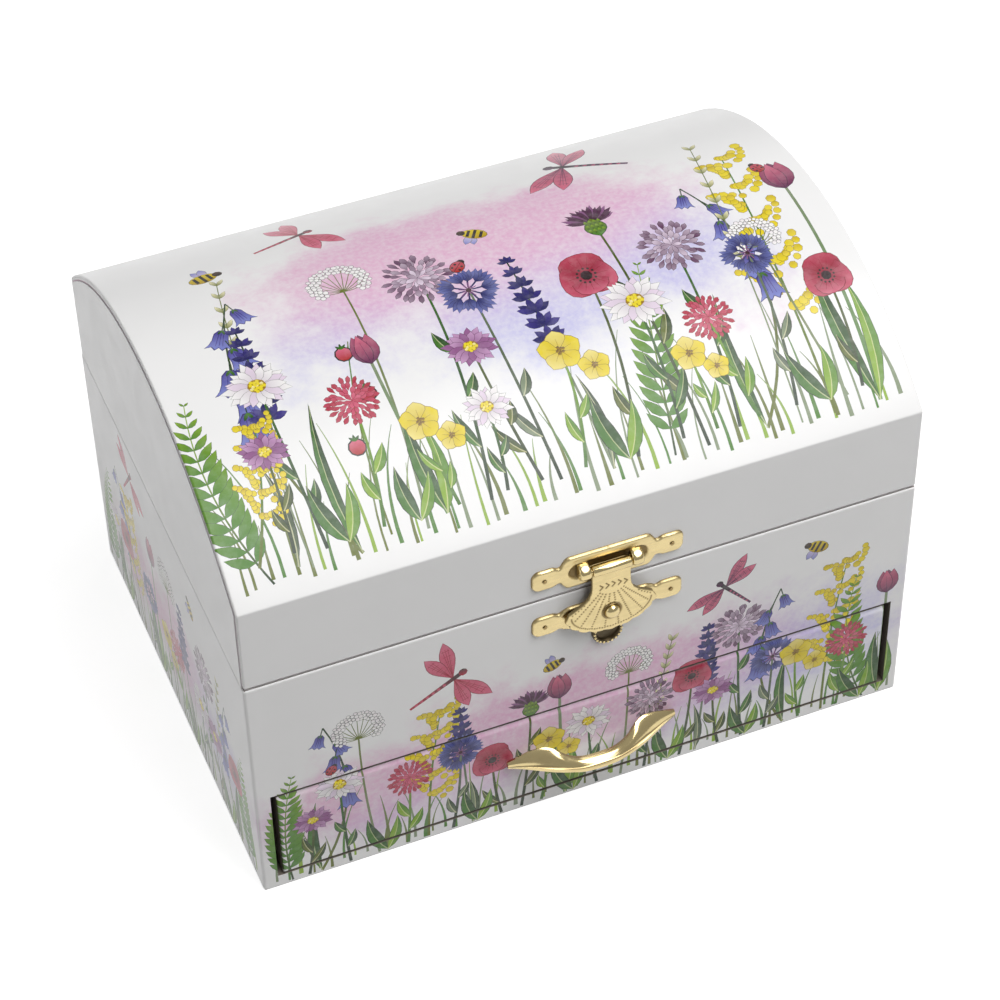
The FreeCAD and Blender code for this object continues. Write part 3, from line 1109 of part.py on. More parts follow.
sections = [pull_section(s, -1) for s in reversed(STATIONS)] + [pull_section(s, 1) for s in STATIONS[1:]]
bow = Part.makeLoft(sections, True, False)
inside = Part.makeBox(80, 20, 40, V(-40, -num("half_d"), 0))
node(solid("drawer_pull", bow.cut(inside)))
rivets = []
for k, sign in enumerate((-1, 1)):
    x = sign * num("pull_half - rivet_in")
    rivet = domed(num("rivet_dome"), num("rivet_sunk"), num("rivet_r"), num("front_board"))
    spot = V(x, -num("half_d + rivet_out"), num("pull_z"))
    rivet.Placement = FreeCAD.Placement(spot, FreeCAD.Rotation(V(1, 0, 0), 90))
    rivets.append(solid("pull_rivet_%d" % k, rivet))
node(group("pull_rivets", rivets))

doc.recompute()
os.makedirs("parts", exist_ok=True)
bad = []
for thing in doc.Objects:
    if "Invalid" in thing.State or "Error" in thing.State:
        bad.append("%s is %s" % (thing.Name, thing.State))
for thing in NODES:
    if thing.Shape.isNull() or not thing.Shape.isValid() or not thing.Shape.Solids:
        bad.append("%s has no valid shape" % thing.Name)
if bad:
    raise SystemExit("; ".join(bad))
for thing in NODES:
    thing.Shape.exportStep("parts/%s.step" % thing.Label)
print("%d parts written" % len(NODES))
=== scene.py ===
"""Musical jewellery box: looks for the dome-lidded box, its hardware, linings, dancer and movement."""

import bisect
import random
from cmath import phase, rect
from math import asin, atan2, cos, exp, hypot, pi, radians, sin, sqrt, tan

import bmesh
import bpy
import numpy as np
from mathutils import Matrix, Vector
from mathutils.geometry import delaunay_2d_cdt


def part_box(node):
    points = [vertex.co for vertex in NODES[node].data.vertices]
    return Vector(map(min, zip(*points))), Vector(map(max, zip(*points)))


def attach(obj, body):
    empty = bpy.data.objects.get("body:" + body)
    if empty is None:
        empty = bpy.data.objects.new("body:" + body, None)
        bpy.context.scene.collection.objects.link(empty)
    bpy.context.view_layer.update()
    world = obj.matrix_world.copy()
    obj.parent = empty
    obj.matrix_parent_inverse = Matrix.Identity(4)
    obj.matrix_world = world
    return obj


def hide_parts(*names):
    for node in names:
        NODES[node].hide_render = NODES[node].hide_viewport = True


bl_info = {
    "name": "Musical Jewellery Box",
    "version": (1, 0, 0),
    "blender": (4, 5, 0),
    "location": "View3D > Sidebar > Jewellery Box",
    "description": "Builds the papers, brass, linings and dancer of a dome-lidded musical jewellery box",
    "category": "Object",
}

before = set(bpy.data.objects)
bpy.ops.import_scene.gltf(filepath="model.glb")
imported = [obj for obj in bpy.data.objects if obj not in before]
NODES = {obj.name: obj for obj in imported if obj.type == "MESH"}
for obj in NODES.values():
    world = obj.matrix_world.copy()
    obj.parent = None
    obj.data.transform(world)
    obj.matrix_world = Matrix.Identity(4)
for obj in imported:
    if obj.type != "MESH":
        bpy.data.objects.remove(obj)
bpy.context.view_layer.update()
MM = 0.001
TURN = 2 * pi
UP = pi / 2


def mm(node):
    """A node's box in millimetres."""
    low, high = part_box(node)
    return low / MM, high / MM


CASE_LOW, CASE_HIGH = mm("case_wrap")
LID_LOW, LID_HIGH = mm("lid_wrap")
HALF_W, HALF_D, CASE_TOP = CASE_HIGH.x, CASE_HIGH.y, CASE_HIGH.z
LID_FOOT, CREST = LID_LOW.z, LID_HIGH.z
CREASE = mm("lid_front_wall")[1].z
RISE = CREST - CREASE
DOME_R = (HALF_D ** 2 + RISE ** 2) / (2 * RISE)
DOME_Z = CREST - DOME_R
ROOF_HALF = atan2(HALF_D, CREASE - DOME_Z)
WALL_X = mm("left_wall")[0].x * -1
DOOR_X = mm("right_wall")[0].x
DOOR_LOW, DOOR_HIGH = mm("base_board")[1].z, mm("shelf")[0].z
FRONT_LOW, FRONT_HIGH = mm("drawer_front")


# Settings.

def colour(label, words, value):
    return bpy.props.FloatVectorProperty(
        name=label, description=words, subtype="COLOR", size=3, min=0, max=1, default=value)


def length(label, words, value):
    return bpy.props.FloatProperty(name=label, description=words, subtype="DISTANCE", unit="LENGTH", default=value)


def amount(label, words, value):
    return bpy.props.FloatProperty(name=label, description=words, default=value)


class BoxPaperSettings(bpy.types.PropertyGroup):
    """Covering paper."""
    white: colour("Paper", "Colour of the bare paper", (0.86, 0.855, 0.85))
    pink_wash: colour("Pink wash", "Colour of the pink wash behind the flowers", (0.74, 0.42, 0.6))
    blue_wash: colour("Blue wash", "Colour of the lilac wash behind the flowers", (0.52, 0.52, 0.8))
    edge_round: length("Edge round", "Rounding of the papered edges", 0.0005)
    corner_round: length("Corner round", "Rounding of the case's upright corners", 0.0008)


class BoxBrassSettings(bpy.types.PropertyGroup):
    """Brass fittings."""
    tone: colour("Brass", "Colour of the stamped brass", (0.64, 0.52, 0.27))
    # The old brass colour also darkens plate rims, slots, wells, grooves and the knob's collar as painted shade.
    deep: colour("Old brass", "Colour of the brass in its hollows", (0.2, 0.125, 0.045))


class BoxLiningSettings(bpy.types.PropertyGroup):
    """Linings, pads and the dancer's net."""
    velvet: colour("Velvet", "Colour of the flocked trays", (0.62, 0.3, 0.47))
    roll: colour("Roll velvet", "Colour of the ring rolls", (0.68, 0.36, 0.53))
    satin: colour("Satin", "Colour of the padded lid", (0.84, 0.62, 0.71))
    paper: colour("Lining paper", "Colour of the paper inside", (0.82, 0.62, 0.72))
    net: colour("Net", "Colour of the dancer's net", (0.88, 0.6, 0.72))


class BoxStageSettings(bpy.types.PropertyGroup):
    """Light and floor."""
    floor: colour("Floor", "Colour of the floor", (0.45, 0.45, 0.45))
    floor_glow: amount("Floor white", "Whitening of the floor as the camera sees it", 0.86)
    key_power: amount("Top light", "Power of the soft light above", 20.0)
    ambient: amount("Ambient", "Strength of the light from all round", 0.085)
    mirrored: amount("Mirrored", "Brightness of the studio in reflections", 0.45)


# Shader building.

def linear(text):
    """A colour written as six hex digits, in linear values."""
    parts = [int(text[i:i + 2], 16) / 255 for i in (0, 2, 4)]
    return tuple(p / 12.92 if p <= 0.04045 else ((p + 0.055) / 1.055) ** 2.4 for p in parts)


class Shader:
    """A small helper that adds and joins nodes."""

    def __init__(self, tree):
        self.tree = tree

    def node(self, kind, inputs=None, **fields):
        made = self.tree.nodes.new(kind)
        for key, value in fields.items():
            setattr(made, key, value)
        for key, value in (inputs or {}).items():
            self.feed(made.inputs[key], value)
        return made

    def feed(self, socket, value):
        if isinstance(value, bpy.types.NodeSocket):
            self.tree.links.new(value, socket)
        elif hasattr(value, "__len__") and len(value) == 3 and socket.type == "RGBA":
            socket.default_value = (*value, 1)
        else:
            socket.default_value = value

    def math(self, operation, a, b=0.0, clamp=False):
        return self.node("ShaderNodeMath", {0: a, 1: b}, operation=operation, use_clamp=clamp).outputs[0]

    def times(self, a, b):
        return self.math("MULTIPLY", a, b)

    def plus(self, a, b):
        return self.math("ADD", a, b)

    def mix(self, share, a, b):
        return self.node("ShaderNodeMix", {0: share, 6: a, 7: b}, data_type="RGBA").outputs[2]

    def span(self, value, a, b, low=0.0, high=1.0):
        made = self.node("ShaderNodeMapRange", {0: value, 1: a, 2: b, 3: low, 4: high}, interpolation_type="SMOOTHSTEP")
        return made.outputs[0]

    def noise(self, place, scale, detail=3.0, rough=0.5):
        sizes = {"Vector": place, "Scale": scale, "Detail": detail, "Roughness": rough}
        return self.node("ShaderNodeTexNoise", sizes).outputs["Fac"]

    def mark(self, name):
        """The outputs of a value or colour stored on the mesh."""
        return self.node("ShaderNodeAttribute", attribute_name=name).outputs

    def bump(self, height, strength, distance):
        return self.node("ShaderNodeBump", {"Strength": strength, "Distance": distance, "Height": height}).outputs[0]

    def place(self):
        return self.node("ShaderNodeTexCoord").outputs["Object"]


def finish_of(name, build, **plain):
    """A material with one Principled shader; plain values are set on its own sockets."""
    made = bpy.data.materials.get(name)
    if made:
        return made
    made = bpy.data.materials.new(name)
    made.use_nodes = True
    made.node_tree.nodes.clear()
    s = Shader(made.node_tree)
    body = s.node("ShaderNodeBsdfPrincipled")
    s.node("ShaderNodeOutputMaterial", {"Surface": body.outputs[0]}, is_active_output=True)
    for key, value in plain.items():
        s.feed(body.inputs[key.replace("_", " ")], value)
    for key, value in build(s).items():
        s.feed(body.inputs[key], value)
    return made


def shared(s, name, build, **values):
    """A tint and a height from a shader group, which is built once and fed with the place and these values."""
    values["Place"] = s.place()
    tree = bpy.data.node_groups.get(name)
    if not tree:
        tree = bpy.data.node_groups.new(name, "ShaderNodeTree")
        for label, value in values.items():
            kind = "NodeSocketFloat" if isinstance(value, float) else "NodeSocketVector"
            tree.interface.new_socket(label, in_out="INPUT", socket_type=kind)
        for label in ("Tint", "Height"):
            tree.interface.new_socket(label, in_out="OUTPUT", socket_type="NodeSocketFloat")
        g = Shader(tree)
        tint, height = build(g, g.node("NodeGroupInput").outputs)
        g.node("NodeGroupOutput", {"Tint": tint, "Height": height})
    made = s.node("ShaderNodeGroup", node_tree=tree)
    for key, value in values.items():
        s.feed(made.inputs[key], value)
    return made.outputs["Tint"], made.outputs["Height"]


def grain(s, scale, stretch=(1.0, 1.0, 1.0)):
    """Fine unevenness: a tint from 0 to 1 and a height."""
    def build(g, given):
        spot = g.node("ShaderNodeVectorMath", {0: given["Place"], 1: given["Stretch"]}, operation="MULTIPLY").outputs[0]
        coarse = g.noise(spot, given["Scale"], 4.0, 0.55)
        fine = g.noise(spot, g.times(given["Scale"], 5.3), 3.0, 0.6)
        both = g.plus(g.times(coarse, 0.6), g.times(fine, 0.4))
        return g.span(both, 0.34, 0.66), both

    return shared(s, "fine grain", build, Scale=scale, Stretch=stretch)


def weave(s, threads):
    """Crossing threads: a tint and a height."""
    def build(g, given):
        axes = g.node("ShaderNodeSeparateXYZ", {0: given["Place"]}).outputs
        across = g.times(g.plus(axes[0], g.times(axes[1], 0.35)), given["Threads"])
        along = g.times(g.plus(axes[2], g.times(axes[1], 0.94)), given["Threads"])
        over = g.times(g.math("SINE", across), g.math("SINE", along))
        ripple = g.plus(g.times(over, 0.5), 0.5)
        loose = g.noise(given["Place"], g.times(given["Threads"], 0.02), 3.0, 0.6)
        return g.plus(g.times(ripple, 0.6), g.times(loose, 0.4)), ripple

    return shared(s, "crossing threads", build, Threads=threads)


INK_DEPTH = 1.25
TONES = {name: tuple(c ** INK_DEPTH for c in linear(code)) for name, code in {
    "plum": "6b3a63", "mauve": "a4709f", "lilac": "cda7ca", "pale": "eadcea", "indigo": "2f2c6e", "violet": "5b4f9f",
    "sky": "8d95d0", "yellow": "ead93a", "gold": "b39316", "maroon": "47152a", "crimson": "b9354f", "rose": "db7f97",
    "white": "f6f5f3", "ink": "37302f", "grey": "8d8d88", "leaf": "5b8f33", "lime": "9dbb3f", "moss": "7a8432",
    "dark": "244a26", "sage": "93a084", "red": "b5321f", "cream": "f2ecc9", "brown": "5d4528",
}.items()}
WHITE = (1.0, 1.0, 1.0)


def tone(name):
    return TONES[name] if isinstance(name, str) else name


def blend(a, b, share):
    return tuple(x + (y - x) * share for x, y in zip(tone(a), tone(b)))


def inked(shade, share):
    return blend(shade, "ink", share)


def dim(shade, share):
    return tuple(c * share for c in shade)


# Finishes.

def textured(name, pattern, shades, rough, relief, stain=None, **plain):
    """A finish whose fine pattern shows in colour, roughness and relief; stain is a scale, a strength and a colour."""
    def build(s):
        kind, *sizes = pattern
        tint, height = kind(s, *sizes)
        face = s.mix(tint, *shades)
        if stain:
            scale, share, shade = stain
            face = s.mix(s.times(grain(s, *scale)[0], share), face, shade)
        return {"Base Color": face, "Roughness": s.span(tint, 0.0, 1.0, *rough), "Normal": s.bump(height, *relief)}

    return finish_of(name, build, **plain)


def brass_finish(name, rough, aged=0.0):
    look = bpy.context.scene.box_brass
    bright, deep = tuple(look.tone), tuple(look.deep)

    def build(s):
        tint, height = grain(s, 260.0, (0.25, 1.0, 1.0))
        stain, _ = grain(s, 90.0)
        face = s.mix(tint, blend(bright, deep, aged), blend(dim(bright, 0.9), deep, aged))
        face = s.mix(s.times(stain, 0.12), face, blend(bright, deep, 0.6))
        # Darkening towards old brass from the mark: patina in punched marks, and painted shade at plate rims, slots,
        # wells, grooves and the knob's collar.
        dark = s.math("MULTIPLY", s.mark("hollow")["Fac"], 0.85, True)
        return {
            "Base Color": s.mix(dark, face, dim(deep, 0.55)),
            "Roughness": s.plus(s.span(tint, 0.0, 1.0, rough * 0.85, rough * 1.2), s.times(dark, 0.25)),
            "Normal": s.bump(height, 0.06, 0.00004),
        }

    return finish_of(name, build, Metallic=1.0)


def stamped_brass():
    return brass_finish("stamped brass", 0.3)


def polished_brass():
    return brass_finish("polished brass", 0.16)


def steel_finish():
    return textured("bright steel", (grain, 300.0, (0.3, 1.0, 1.0)), ((0.62, 0.62, 0.63), (0.5, 0.5, 0.52)),
                    (0.24, 0.375), (0.06, 0.00004), ((70.0,), 0.2, (0.36, 0.33, 0.3)), Metallic=1.0)


def board_finish():
    return textured("grey board", (grain, 420.0, (1.0, 1.0, 0.3)), ((0.17, 0.145, 0.12), (0.11, 0.095, 0.08)),
                    (0.82, 0.95), (0.3, 0.0002), ((1400.0,), 0.25, (0.3, 0.26, 0.21)))


def lining_paper():
    paper = tuple(bpy.context.scene.box_lining.paper)
    return textured("lining paper", (weave, 5200.0), (dim(paper, 0.92), paper), (0.5, 0.62), (0.25, 0.00008),
                    ((60.0,), 0.1, dim(paper, 0.8)))


def velvet_finish(name="flocked velvet", source="velvet"):
    pile = tuple(getattr(bpy.context.scene.box_lining, source))
    brushed = (55.0, (1.0, 0.6, 1.0))
    return textured(name, (grain, 1900.0), (dim(pile, 0.78), pile), (0.88, 1.0), (0.55, 0.0003),
                    (brushed, 0.3, blend(pile, WHITE, 0.22)),
                    Sheen_Weight=0.55, Sheen_Roughness=0.45, Specular_IOR_Level=0.2)


def satin_finish():
    satin = tuple(bpy.context.scene.box_lining.satin)

    def build(s):
        tint, height = weave(s, 14000.0)
        soft, _ = grain(s, 80.0)
        face = s.mix(tint, dim(satin, 0.9), satin)
        return {
            "Base Color": s.mix(s.times(soft, 0.15), face, blend(satin, WHITE, 0.4)),
            "Roughness": s.span(soft, 0.0, 1.0, 0.34, 0.44),
            "Normal": s.bump(height, 0.18, 0.00005),
        }

    return finish_of("satin", build, Sheen_Weight=0.25, Sheen_Roughness=0.3)


def plastic_finish(name, shade, rough, metal=0.0):
    return textured(name, (grain, 180.0), (dim(shade, 0.94), shade), (rough * 0.85, rough * 1.2), (0.05, 0.00005),
                    Metallic=metal)


def gilt_finish():
    return plastic_finish("gilt plastic", (0.78, 0.6, 0.3), 0.28, 0.75)


def rubber_finish():
    return textured("rubber", (grain, 700.0), ((0.035, 0.033, 0.032), (0.06, 0.057, 0.055)), (0.7, 0.85), (0.3, 0.0001))


def doll_finish():
    def build(s):
        tint, height = grain(s, 500.0)
        return {
            "Base Color": s.mix(s.times(tint, 0.1), s.mark("paint")["Color"], (1.0, 0.96, 0.92)),
            "Roughness": s.span(tint, 0.0, 1.0, 0.34, 0.46),
            "Normal": s.bump(height, 0.05, 0.00004),
        }

    return finish_of("doll paint", build)


def mirror_finish():
    def build(s):
        tint, _ = grain(s, 40.0)
        return {
            "Base Color": s.mix(tint, (0.88, 0.9, 0.9), (0.92, 0.93, 0.93)),
            "Roughness": s.span(tint, 0.0, 1.0, 0.015, 0.03),
        }

    return finish_of("mirror glass", build, Metallic=1.0)


def net_finish():
    net = tuple(bpy.context.scene.box_lining.net)

    def build(s):
        cells = s.node("ShaderNodeTexVoronoi", {"Vector": s.place(), "Scale": 1500.0}, feature="DISTANCE_TO_EDGE")
        tint, _ = grain(s, 300.0)
        return {
            "Base Color": s.mix(tint, net, blend(net, WHITE, 0.45)),
            "Roughness": s.span(tint, 0.0, 1.0, 0.5, 0.7),
            "Alpha": s.span(cells.outputs["Distance"], 0.05, 0.14, 1.0, 0.28),
        }

    return finish_of("tulle net", build, Sheen_Weight=0.3)


def printed_paper():
    white = tuple(bpy.context.scene.box_paper.white)

    def build(s):
        place, ink, wash = s.place(), s.mark("ink"), s.mark("wash")
        cloud = s.noise(place, 95.0, 6.0, 0.62)
        fleck = s.noise(place, 900.0, 3.0, 0.6)
        blot = s.plus(wash["Alpha"], s.times(s.math("SUBTRACT", cloud, 0.5), 1.3))
        depth = s.times(s.span(blot, 0.22, 1.0), s.span(wash["Alpha"], 0.02, 0.3))
        depth = s.times(depth, s.span(fleck, 0.2, 0.8, 0.55, 1.0))
        bare = s.mix(s.span(s.noise(place, 60.0), 0.3, 0.7), white, dim(white, 0.985))
        worn = s.times(s.span(s.noise(place, 420.0, 4.0, 0.65), 0.35, 0.75), 0.07)
        return {
            "Base Color": s.mix(ink["Alpha"], s.mix(depth, bare, wash["Color"]), s.mix(worn, ink["Color"], WHITE)),
            "Roughness": s.span(s.noise(place, 220.0, 3.0), 0.3, 0.7, 0.3, 0.38),
            "Normal": s.bump(s.noise(place, 1500.0, 4.0, 0.6), 0.05, 0.0001),
        }

    return finish_of("printed paper", build, Coat_Weight=0.2, Coat_Roughness=0.2, Specular_IOR_Level=0.2)


# Flat print: shapes in painter's order on a sheet measured in millimetres.

class Print:
    """Shapes drawn one over the other; points are complex numbers."""

    def __init__(self, seed):
        self.shapes = []
        self.rng = random.Random(seed)

    def put(self, outline, near, far=None, a=0j, b=1j):
        self.shapes.append((outline, tone(near), tone(far or near), a, b))

    def jog(self, most):
        return self.rng.uniform(-most, most)

    def dot(self, middle, radius, near, far=None, sides=8, squash=1.0, turn=0.0):
        way = rect(1, turn)
        ring = [rect(radius, TURN * k / sides) for k in range(sides)]
        outline = [middle + way * complex(p.real, p.imag * squash) for p in ring]
        self.put(outline, near, far, middle - 1j * radius, middle + 1j * radius)

    def petal(self, root, angle, long, wide, near, far, swell=1.0, ink=None, edge=0.0, steps=4, bend=0.0):
        """A petal from its root; swell over 1 puts its width near the tip."""
        def outline(extra):
            left, right = [], []
            total = long + 2 * extra
            for k in range(1, steps):
                t = k / steps
                half = (wide / 2 + extra) * sin(pi * t ** swell)
                side = rect(1, angle + bend * t) * 1j * half
                spot = root + rect(1, angle + bend * t / 2) * (t * total - extra)
                left.append(spot + side)
                right.append(spot - side)
            tip = root + rect(1, angle + bend / 2) * (total - extra)
            return [root - rect(extra, angle)] + right + [tip] + left[::-1]
        if ink:
            self.put(outline(edge), ink)
        self.put(outline(0.0), near, far, root, root + rect(long, angle + bend / 2))

    def stroke(self, points, first, last, near, far=None):
        """A line whose width runs from first to last."""
        left, right = [], []
        count = len(points) - 1
        for k, p in enumerate(points):
            way = points[min(k + 1, count)] - points[max(k - 1, 0)]
            way /= abs(way)
            half = (first + (last - first) * k / count) / 2
            left.append(p + way * 1j * half)
            right.append(p - way * 1j * half)
        self.put(right + left[::-1], near, far, points[0], points[-1])

    def arc(self, a, b, bow, steps):
        """Points of a bowed line; bow is its sideways reach as a share of its length."""
        middle = (a + b) / 2 + (b - a) * 1j * bow
        return [a * (1 - t) ** 2 + 2 * middle * t * (1 - t) + b * t ** 2 for t in (k / steps for k in range(steps + 1))]

    def stem(self, foot, top, bow, steps, first, last, near, far):
        """A bowed stem; returns its points."""
        line = self.arc(foot, top, bow, steps)
        self.stroke(line, first, last, near, far)
        return line

    def leaf(self, root, angle, long, wide, bend, light="leaf", deep="dark"):
        mid, steps = [root], 6
        for k in range(1, steps + 1):
            mid.append(mid[-1] + rect(long / steps, angle + bend * k / steps))
        left, right = [], []
        for k, p in enumerate(mid):
            t = k / steps
            side = rect(1, angle + bend * t) * 1j * (wide / 2 * sin(pi * t ** 0.8))
            left.append(p + side)
            right.append(p - side)
        tip, grow = mid[-1], 1 + 0.36 / wide
        rims = [[p + (q - p) * grow for p, q in zip(mid, side)][1:-1] for side in (right, left)]
        self.put([root] + rims[0] + [tip + (tip - root) * 0.02] + rims[1][::-1], inked(deep, 0.5))
        self.put([root] + right[1:-1] + [tip] + left[1:-1][::-1], light, blend(light, deep, 0.45), root, tip)
        self.put([root] + right[1:-1] + [tip] + mid[1:-1][::-1], blend(light, deep, 0.55), deep, root, tip)
        self.stroke(mid, 0.28, 0.1, blend(light, "cream", 0.45))

    def clover(self, middle, radius, outer, inner, turn):
        """A round head of many small florets."""
        rings = ((0.62, 1.0, 21), (0.42, 0.8, 19), (0.2, 0.58, 14), (0.0, 0.36, 9))
        for step, (low, high, count) in enumerate(rings):
            share = step / 3
            near, far = blend(outer, inner, share * 0.55), blend(blend(outer, inner, 0.35), inner, share)
            edge = inked(outer, 0.55 - 0.2 * share)
            for k in range(count):
                angle = turn + TURN * (k + 0.5 * (step % 2)) / count + self.jog(0.1)
                long = radius * (high - low) * self.rng.uniform(0.85, 1.12)
                wide = radius * self.rng.uniform(0.13, 0.2)
                root, angle = middle + rect(radius * low, angle), angle + self.jog(0.25)
                shade = far if self.rng.random() < 0.75 else blend(far, outer, 0.7)
                self.petal(root, angle, long, wide, near, shade, 1.5, edge, 0.1)

    def daisy(self, middle, radius, petals, near, far, edge, tilt):
        for ring in range(2):
            for k in range(petals):
                way = rect(1, TURN * (k + ring * 0.5) / petals + self.jog(0.08))
                way = complex(way.real, way.imag * tilt)
                long = radius * abs(way) * self.rng.uniform(0.86, 1.06) * (1 - 0.16 * ring)
                shades = blend(far, edge, 0.35), near if k % 3 else far
                self.petal(middle, phase(way), long, radius * 0.27, *shades, 1.4, edge, 0.09)
        self.dot(middle, radius * 0.27, inked("gold", 0.3), "gold", 10, tilt)
        for k in range(16):
            spot = rect(radius * 0.23 * sqrt(k / 16), k * 2.4)
            spot = middle + complex(spot.real, spot.imag * tilt)
            self.dot(spot, radius * 0.06, "yellow", "yellow" if k % 4 else "cream", 5)

    def cornflower(self, middle, radius):
        near, far = "indigo", "sky"
        for k in range(10):
            angle = TURN * k / 10 + self.jog(0.12)
            long = radius * self.rng.uniform(0.85, 1.1)
            root = middle + rect(radius * 0.12, angle)
            self.stroke([root, root + rect(long * 0.5, angle)], 0.35, 0.5, near)
            for tooth in (-0.5, -0.18, 0.18, 0.5):
                self.petal(middle + rect(long * 0.42, angle), angle + tooth, long * 0.6, radius * 0.2,
                           near, blend(near, far, 0.5 + 0.5 * abs(tooth)), 1.0, inked(near, 0.5), 0.08)
        for k in range(13):
            tip = middle + rect(radius * 0.36 * sqrt((k + 1) / 13), k * 2.4)
            self.stroke([middle, tip], 0.32, 0.22, "plum", "mauve")
        self.dot(middle, radius * 0.09, "maroon")

    def poppy(self, middle, radius):
        near, far, eye, span = "crimson", "rose", "maroon", 1.15
        for step, (angle, size) in enumerate(((1.57, 1.0), (3.6, 0.95), (-0.45, 0.95), (4.71, 0.8))):
            outline, rim = [middle], [middle]
            for k in range(9):
                t = k / 8
                turn = angle + span * (2 * t - 1)
                reach = radius * size * (0.8 + 0.2 * sin(pi * t)) * (1 + 0.05 * sin(9 * t + step * 2))
                outline.append(middle + rect(reach, turn))
                rim.append(middle + rect(reach + 0.16, turn))
            self.put(rim, inked(near, 0.55))
            tip = middle + rect(radius * size, angle)
            self.put(outline, blend(near, eye, 0.45), blend(near, far, 0.35 + 0.15 * step), middle, tip)
            for k in range(5):
                turn = angle + span * (0.36 * k - 0.72)
                crease = [middle + rect(radius * 0.3, turn), middle + rect(radius * 0.78 * size, turn)]
                self.stroke(crease, 0.16, 0.06, inked(near, 0.35))
        self.dot(middle, radius * 0.2, "ink", eye)
        for k in range(12):
            self.dot(middle + rect(radius * 0.3, k * 0.5236), radius * 0.05, "ink", sides=5)

    def bell(self, root, angle, size):
        near, far, way = "violet", "sky", rect(size, angle)
        half = ((0.0, 0.12), (0.2, 0.27), (0.55, 0.3), (0.8, 0.38), (1.0, 0.52))
        lip = ((0.9, 0.28), (1.06, 0.14), (0.92, 0.0), (1.06, -0.14), (0.9, -0.28))
        outline = [root + way * complex(l, h) for l, h in half + lip]
        outline += [root + way * complex(l, -h) for l, h in reversed(half)]
        grown = [root + way * 0.5 + (p - root - way * 0.5) * 1.09 for p in outline]
        self.put(grown[::-1], inked(near, 0.5))
        self.put(outline[::-1], near, far, root, root + way)
        for side in (-0.14, 0.0, 0.14):
            line = [root + way * complex(0.15, side * 0.6), root + way * complex(0.85, side)]
            self.stroke(line, 0.2, 0.1, inked(near, 0.3))
        for turn in (0.5, -0.5):
            self.petal(root - way * 0.05, angle + turn, size * 0.3, size * 0.12, "leaf", "dark")

    def bluebell(self, foot, top, bow, size):
        line = self.stem(foot, top, bow, 12, 0.75, 0.35, "moss", "dark")
        side = 1 if bow < 0 else -1
        for k in range(6):
            spot = line[12 - k]
            down = -UP + side * (0.55 - 0.1 * k) * (1 if k % 2 else -0.5)
            hang = spot + rect(size * 0.45, down)
            self.stroke([spot, hang], 0.28, 0.28, "dark")
            self.bell(hang, down, size * (0.72 + 0.07 * k))

    def lavender(self, foot, top, bow, size):
        near, far = "indigo", "violet"
        line = self.stem(foot, top, bow, 14, 0.7, 0.35, "sage", "dark")
        for k in range(7):
            spot = line[14 - k]
            way = phase(spot - line[13 - k])
            wide = size * (0.55 + 0.12 * min(k, 4))
            for turn in (-1.25, -0.7, 0.7, 1.25, 0.0):
                self.petal(spot, way + turn + self.jog(0.15), wide, wide * 0.42, near,
                           blend(near, far, self.rng.random()), 1.1, inked(near, 0.5), 0.09)

    def spray(self, foot, top, bow, reach):
        near, far = "yellow", "gold"
        line = self.stem(foot, top, bow, 12, 0.7, 0.3, "moss", "leaf")
        for k in range(4, 13):
            side = 1 if k % 2 else -1
            way = phase(line[k] - line[k - 1]) + side * 0.85
            twig = self.arc(line[k], line[k] + rect(reach * (1.05 - 0.055 * k), way), side * 0.2, 5)
            self.stroke(twig, 0.3, 0.18, "leaf")
            for j, p in enumerate(twig[1:], start=1):
                for step in range(3):
                    spot = p + rect(reach * 0.16 * step, way + 1.7 * (step % 2 * 2 - 1) + 0.4 * j)
                    size = reach * self.rng.uniform(0.085, 0.125)
                    self.dot(spot, size + 0.09, inked(far, 0.5), sides=7)
                    self.dot(spot, size, near, blend(near, far, self.rng.random() * 0.6), sides=7)

    def umbel(self, foot, top, bow, radius):
        line = self.stem(foot, top, bow, 8, 0.7, 0.4, "sage", "moss")
        way = phase(line[-1] - line[-2])
        for k in range(13):
            head = top + rect(radius * (1.0 - 0.012 * (k - 6) ** 2), way + (k - 6) * 0.24)
            self.stroke(self.arc(top, head, 0.12 * (k - 6) / 6, 4), 0.22, 0.16, "moss")
            for j in range(7):
                spot = head + rect(radius * 0.14 * (j > 0), j * 1.047 + k)
                size = radius * self.rng.uniform(0.055, 0.08)
                self.dot(spot, size + 0.1, blend("ink", "grey", 0.35), sides=6)
                self.dot(spot, size, "white", blend("white", "lilac", 0.3 * self.rng.random()), sides=6)

    def buttercup(self, middle, radius):
        near, far, edge = "yellow", "cream", "gold"
        for k in range(5):
            angle = TURN * k / 5 + 0.3
            shades = blend(near, edge, 0.4), blend(near, far, 0.4 * (k % 2))
            self.petal(middle, angle, radius, radius * 0.92, *shades, 1.5, inked(edge, 0.35), 0.12, 6)
            self.stroke([middle, middle + rect(radius * 0.6, angle)], 0.16, 0.06, edge)
        for k in range(9):
            self.dot(middle + rect(radius * 0.2 * sqrt(k / 9), k * 2.4), radius * 0.08, "gold", "brown", 5)

    def tulip(self, foot, top, bow, size):
        near, far = "plum", "rose"
        line = self.stem(foot, top, bow, 8, 0.95, 0.7, "leaf", "sage")
        way = phase(line[-1] - line[-2])
        for turn, wide, shade in ((0.0, 0.62, 0.2), (0.34, 0.5, 0.55), (-0.34, 0.5, 0.75), (0.12, 0.42, 1.0)):
            self.petal(top - rect(size * 0.05, way), way + turn, size, size * wide, near, blend(near, far, shade), 0.85,
                       inked(near, 0.55), 0.14, 6, -turn * 0.9)
            self.stroke([top, top + rect(size * 0.7, way + turn * 0.6)], 0.14, 0.05, inked(near, 0.25))

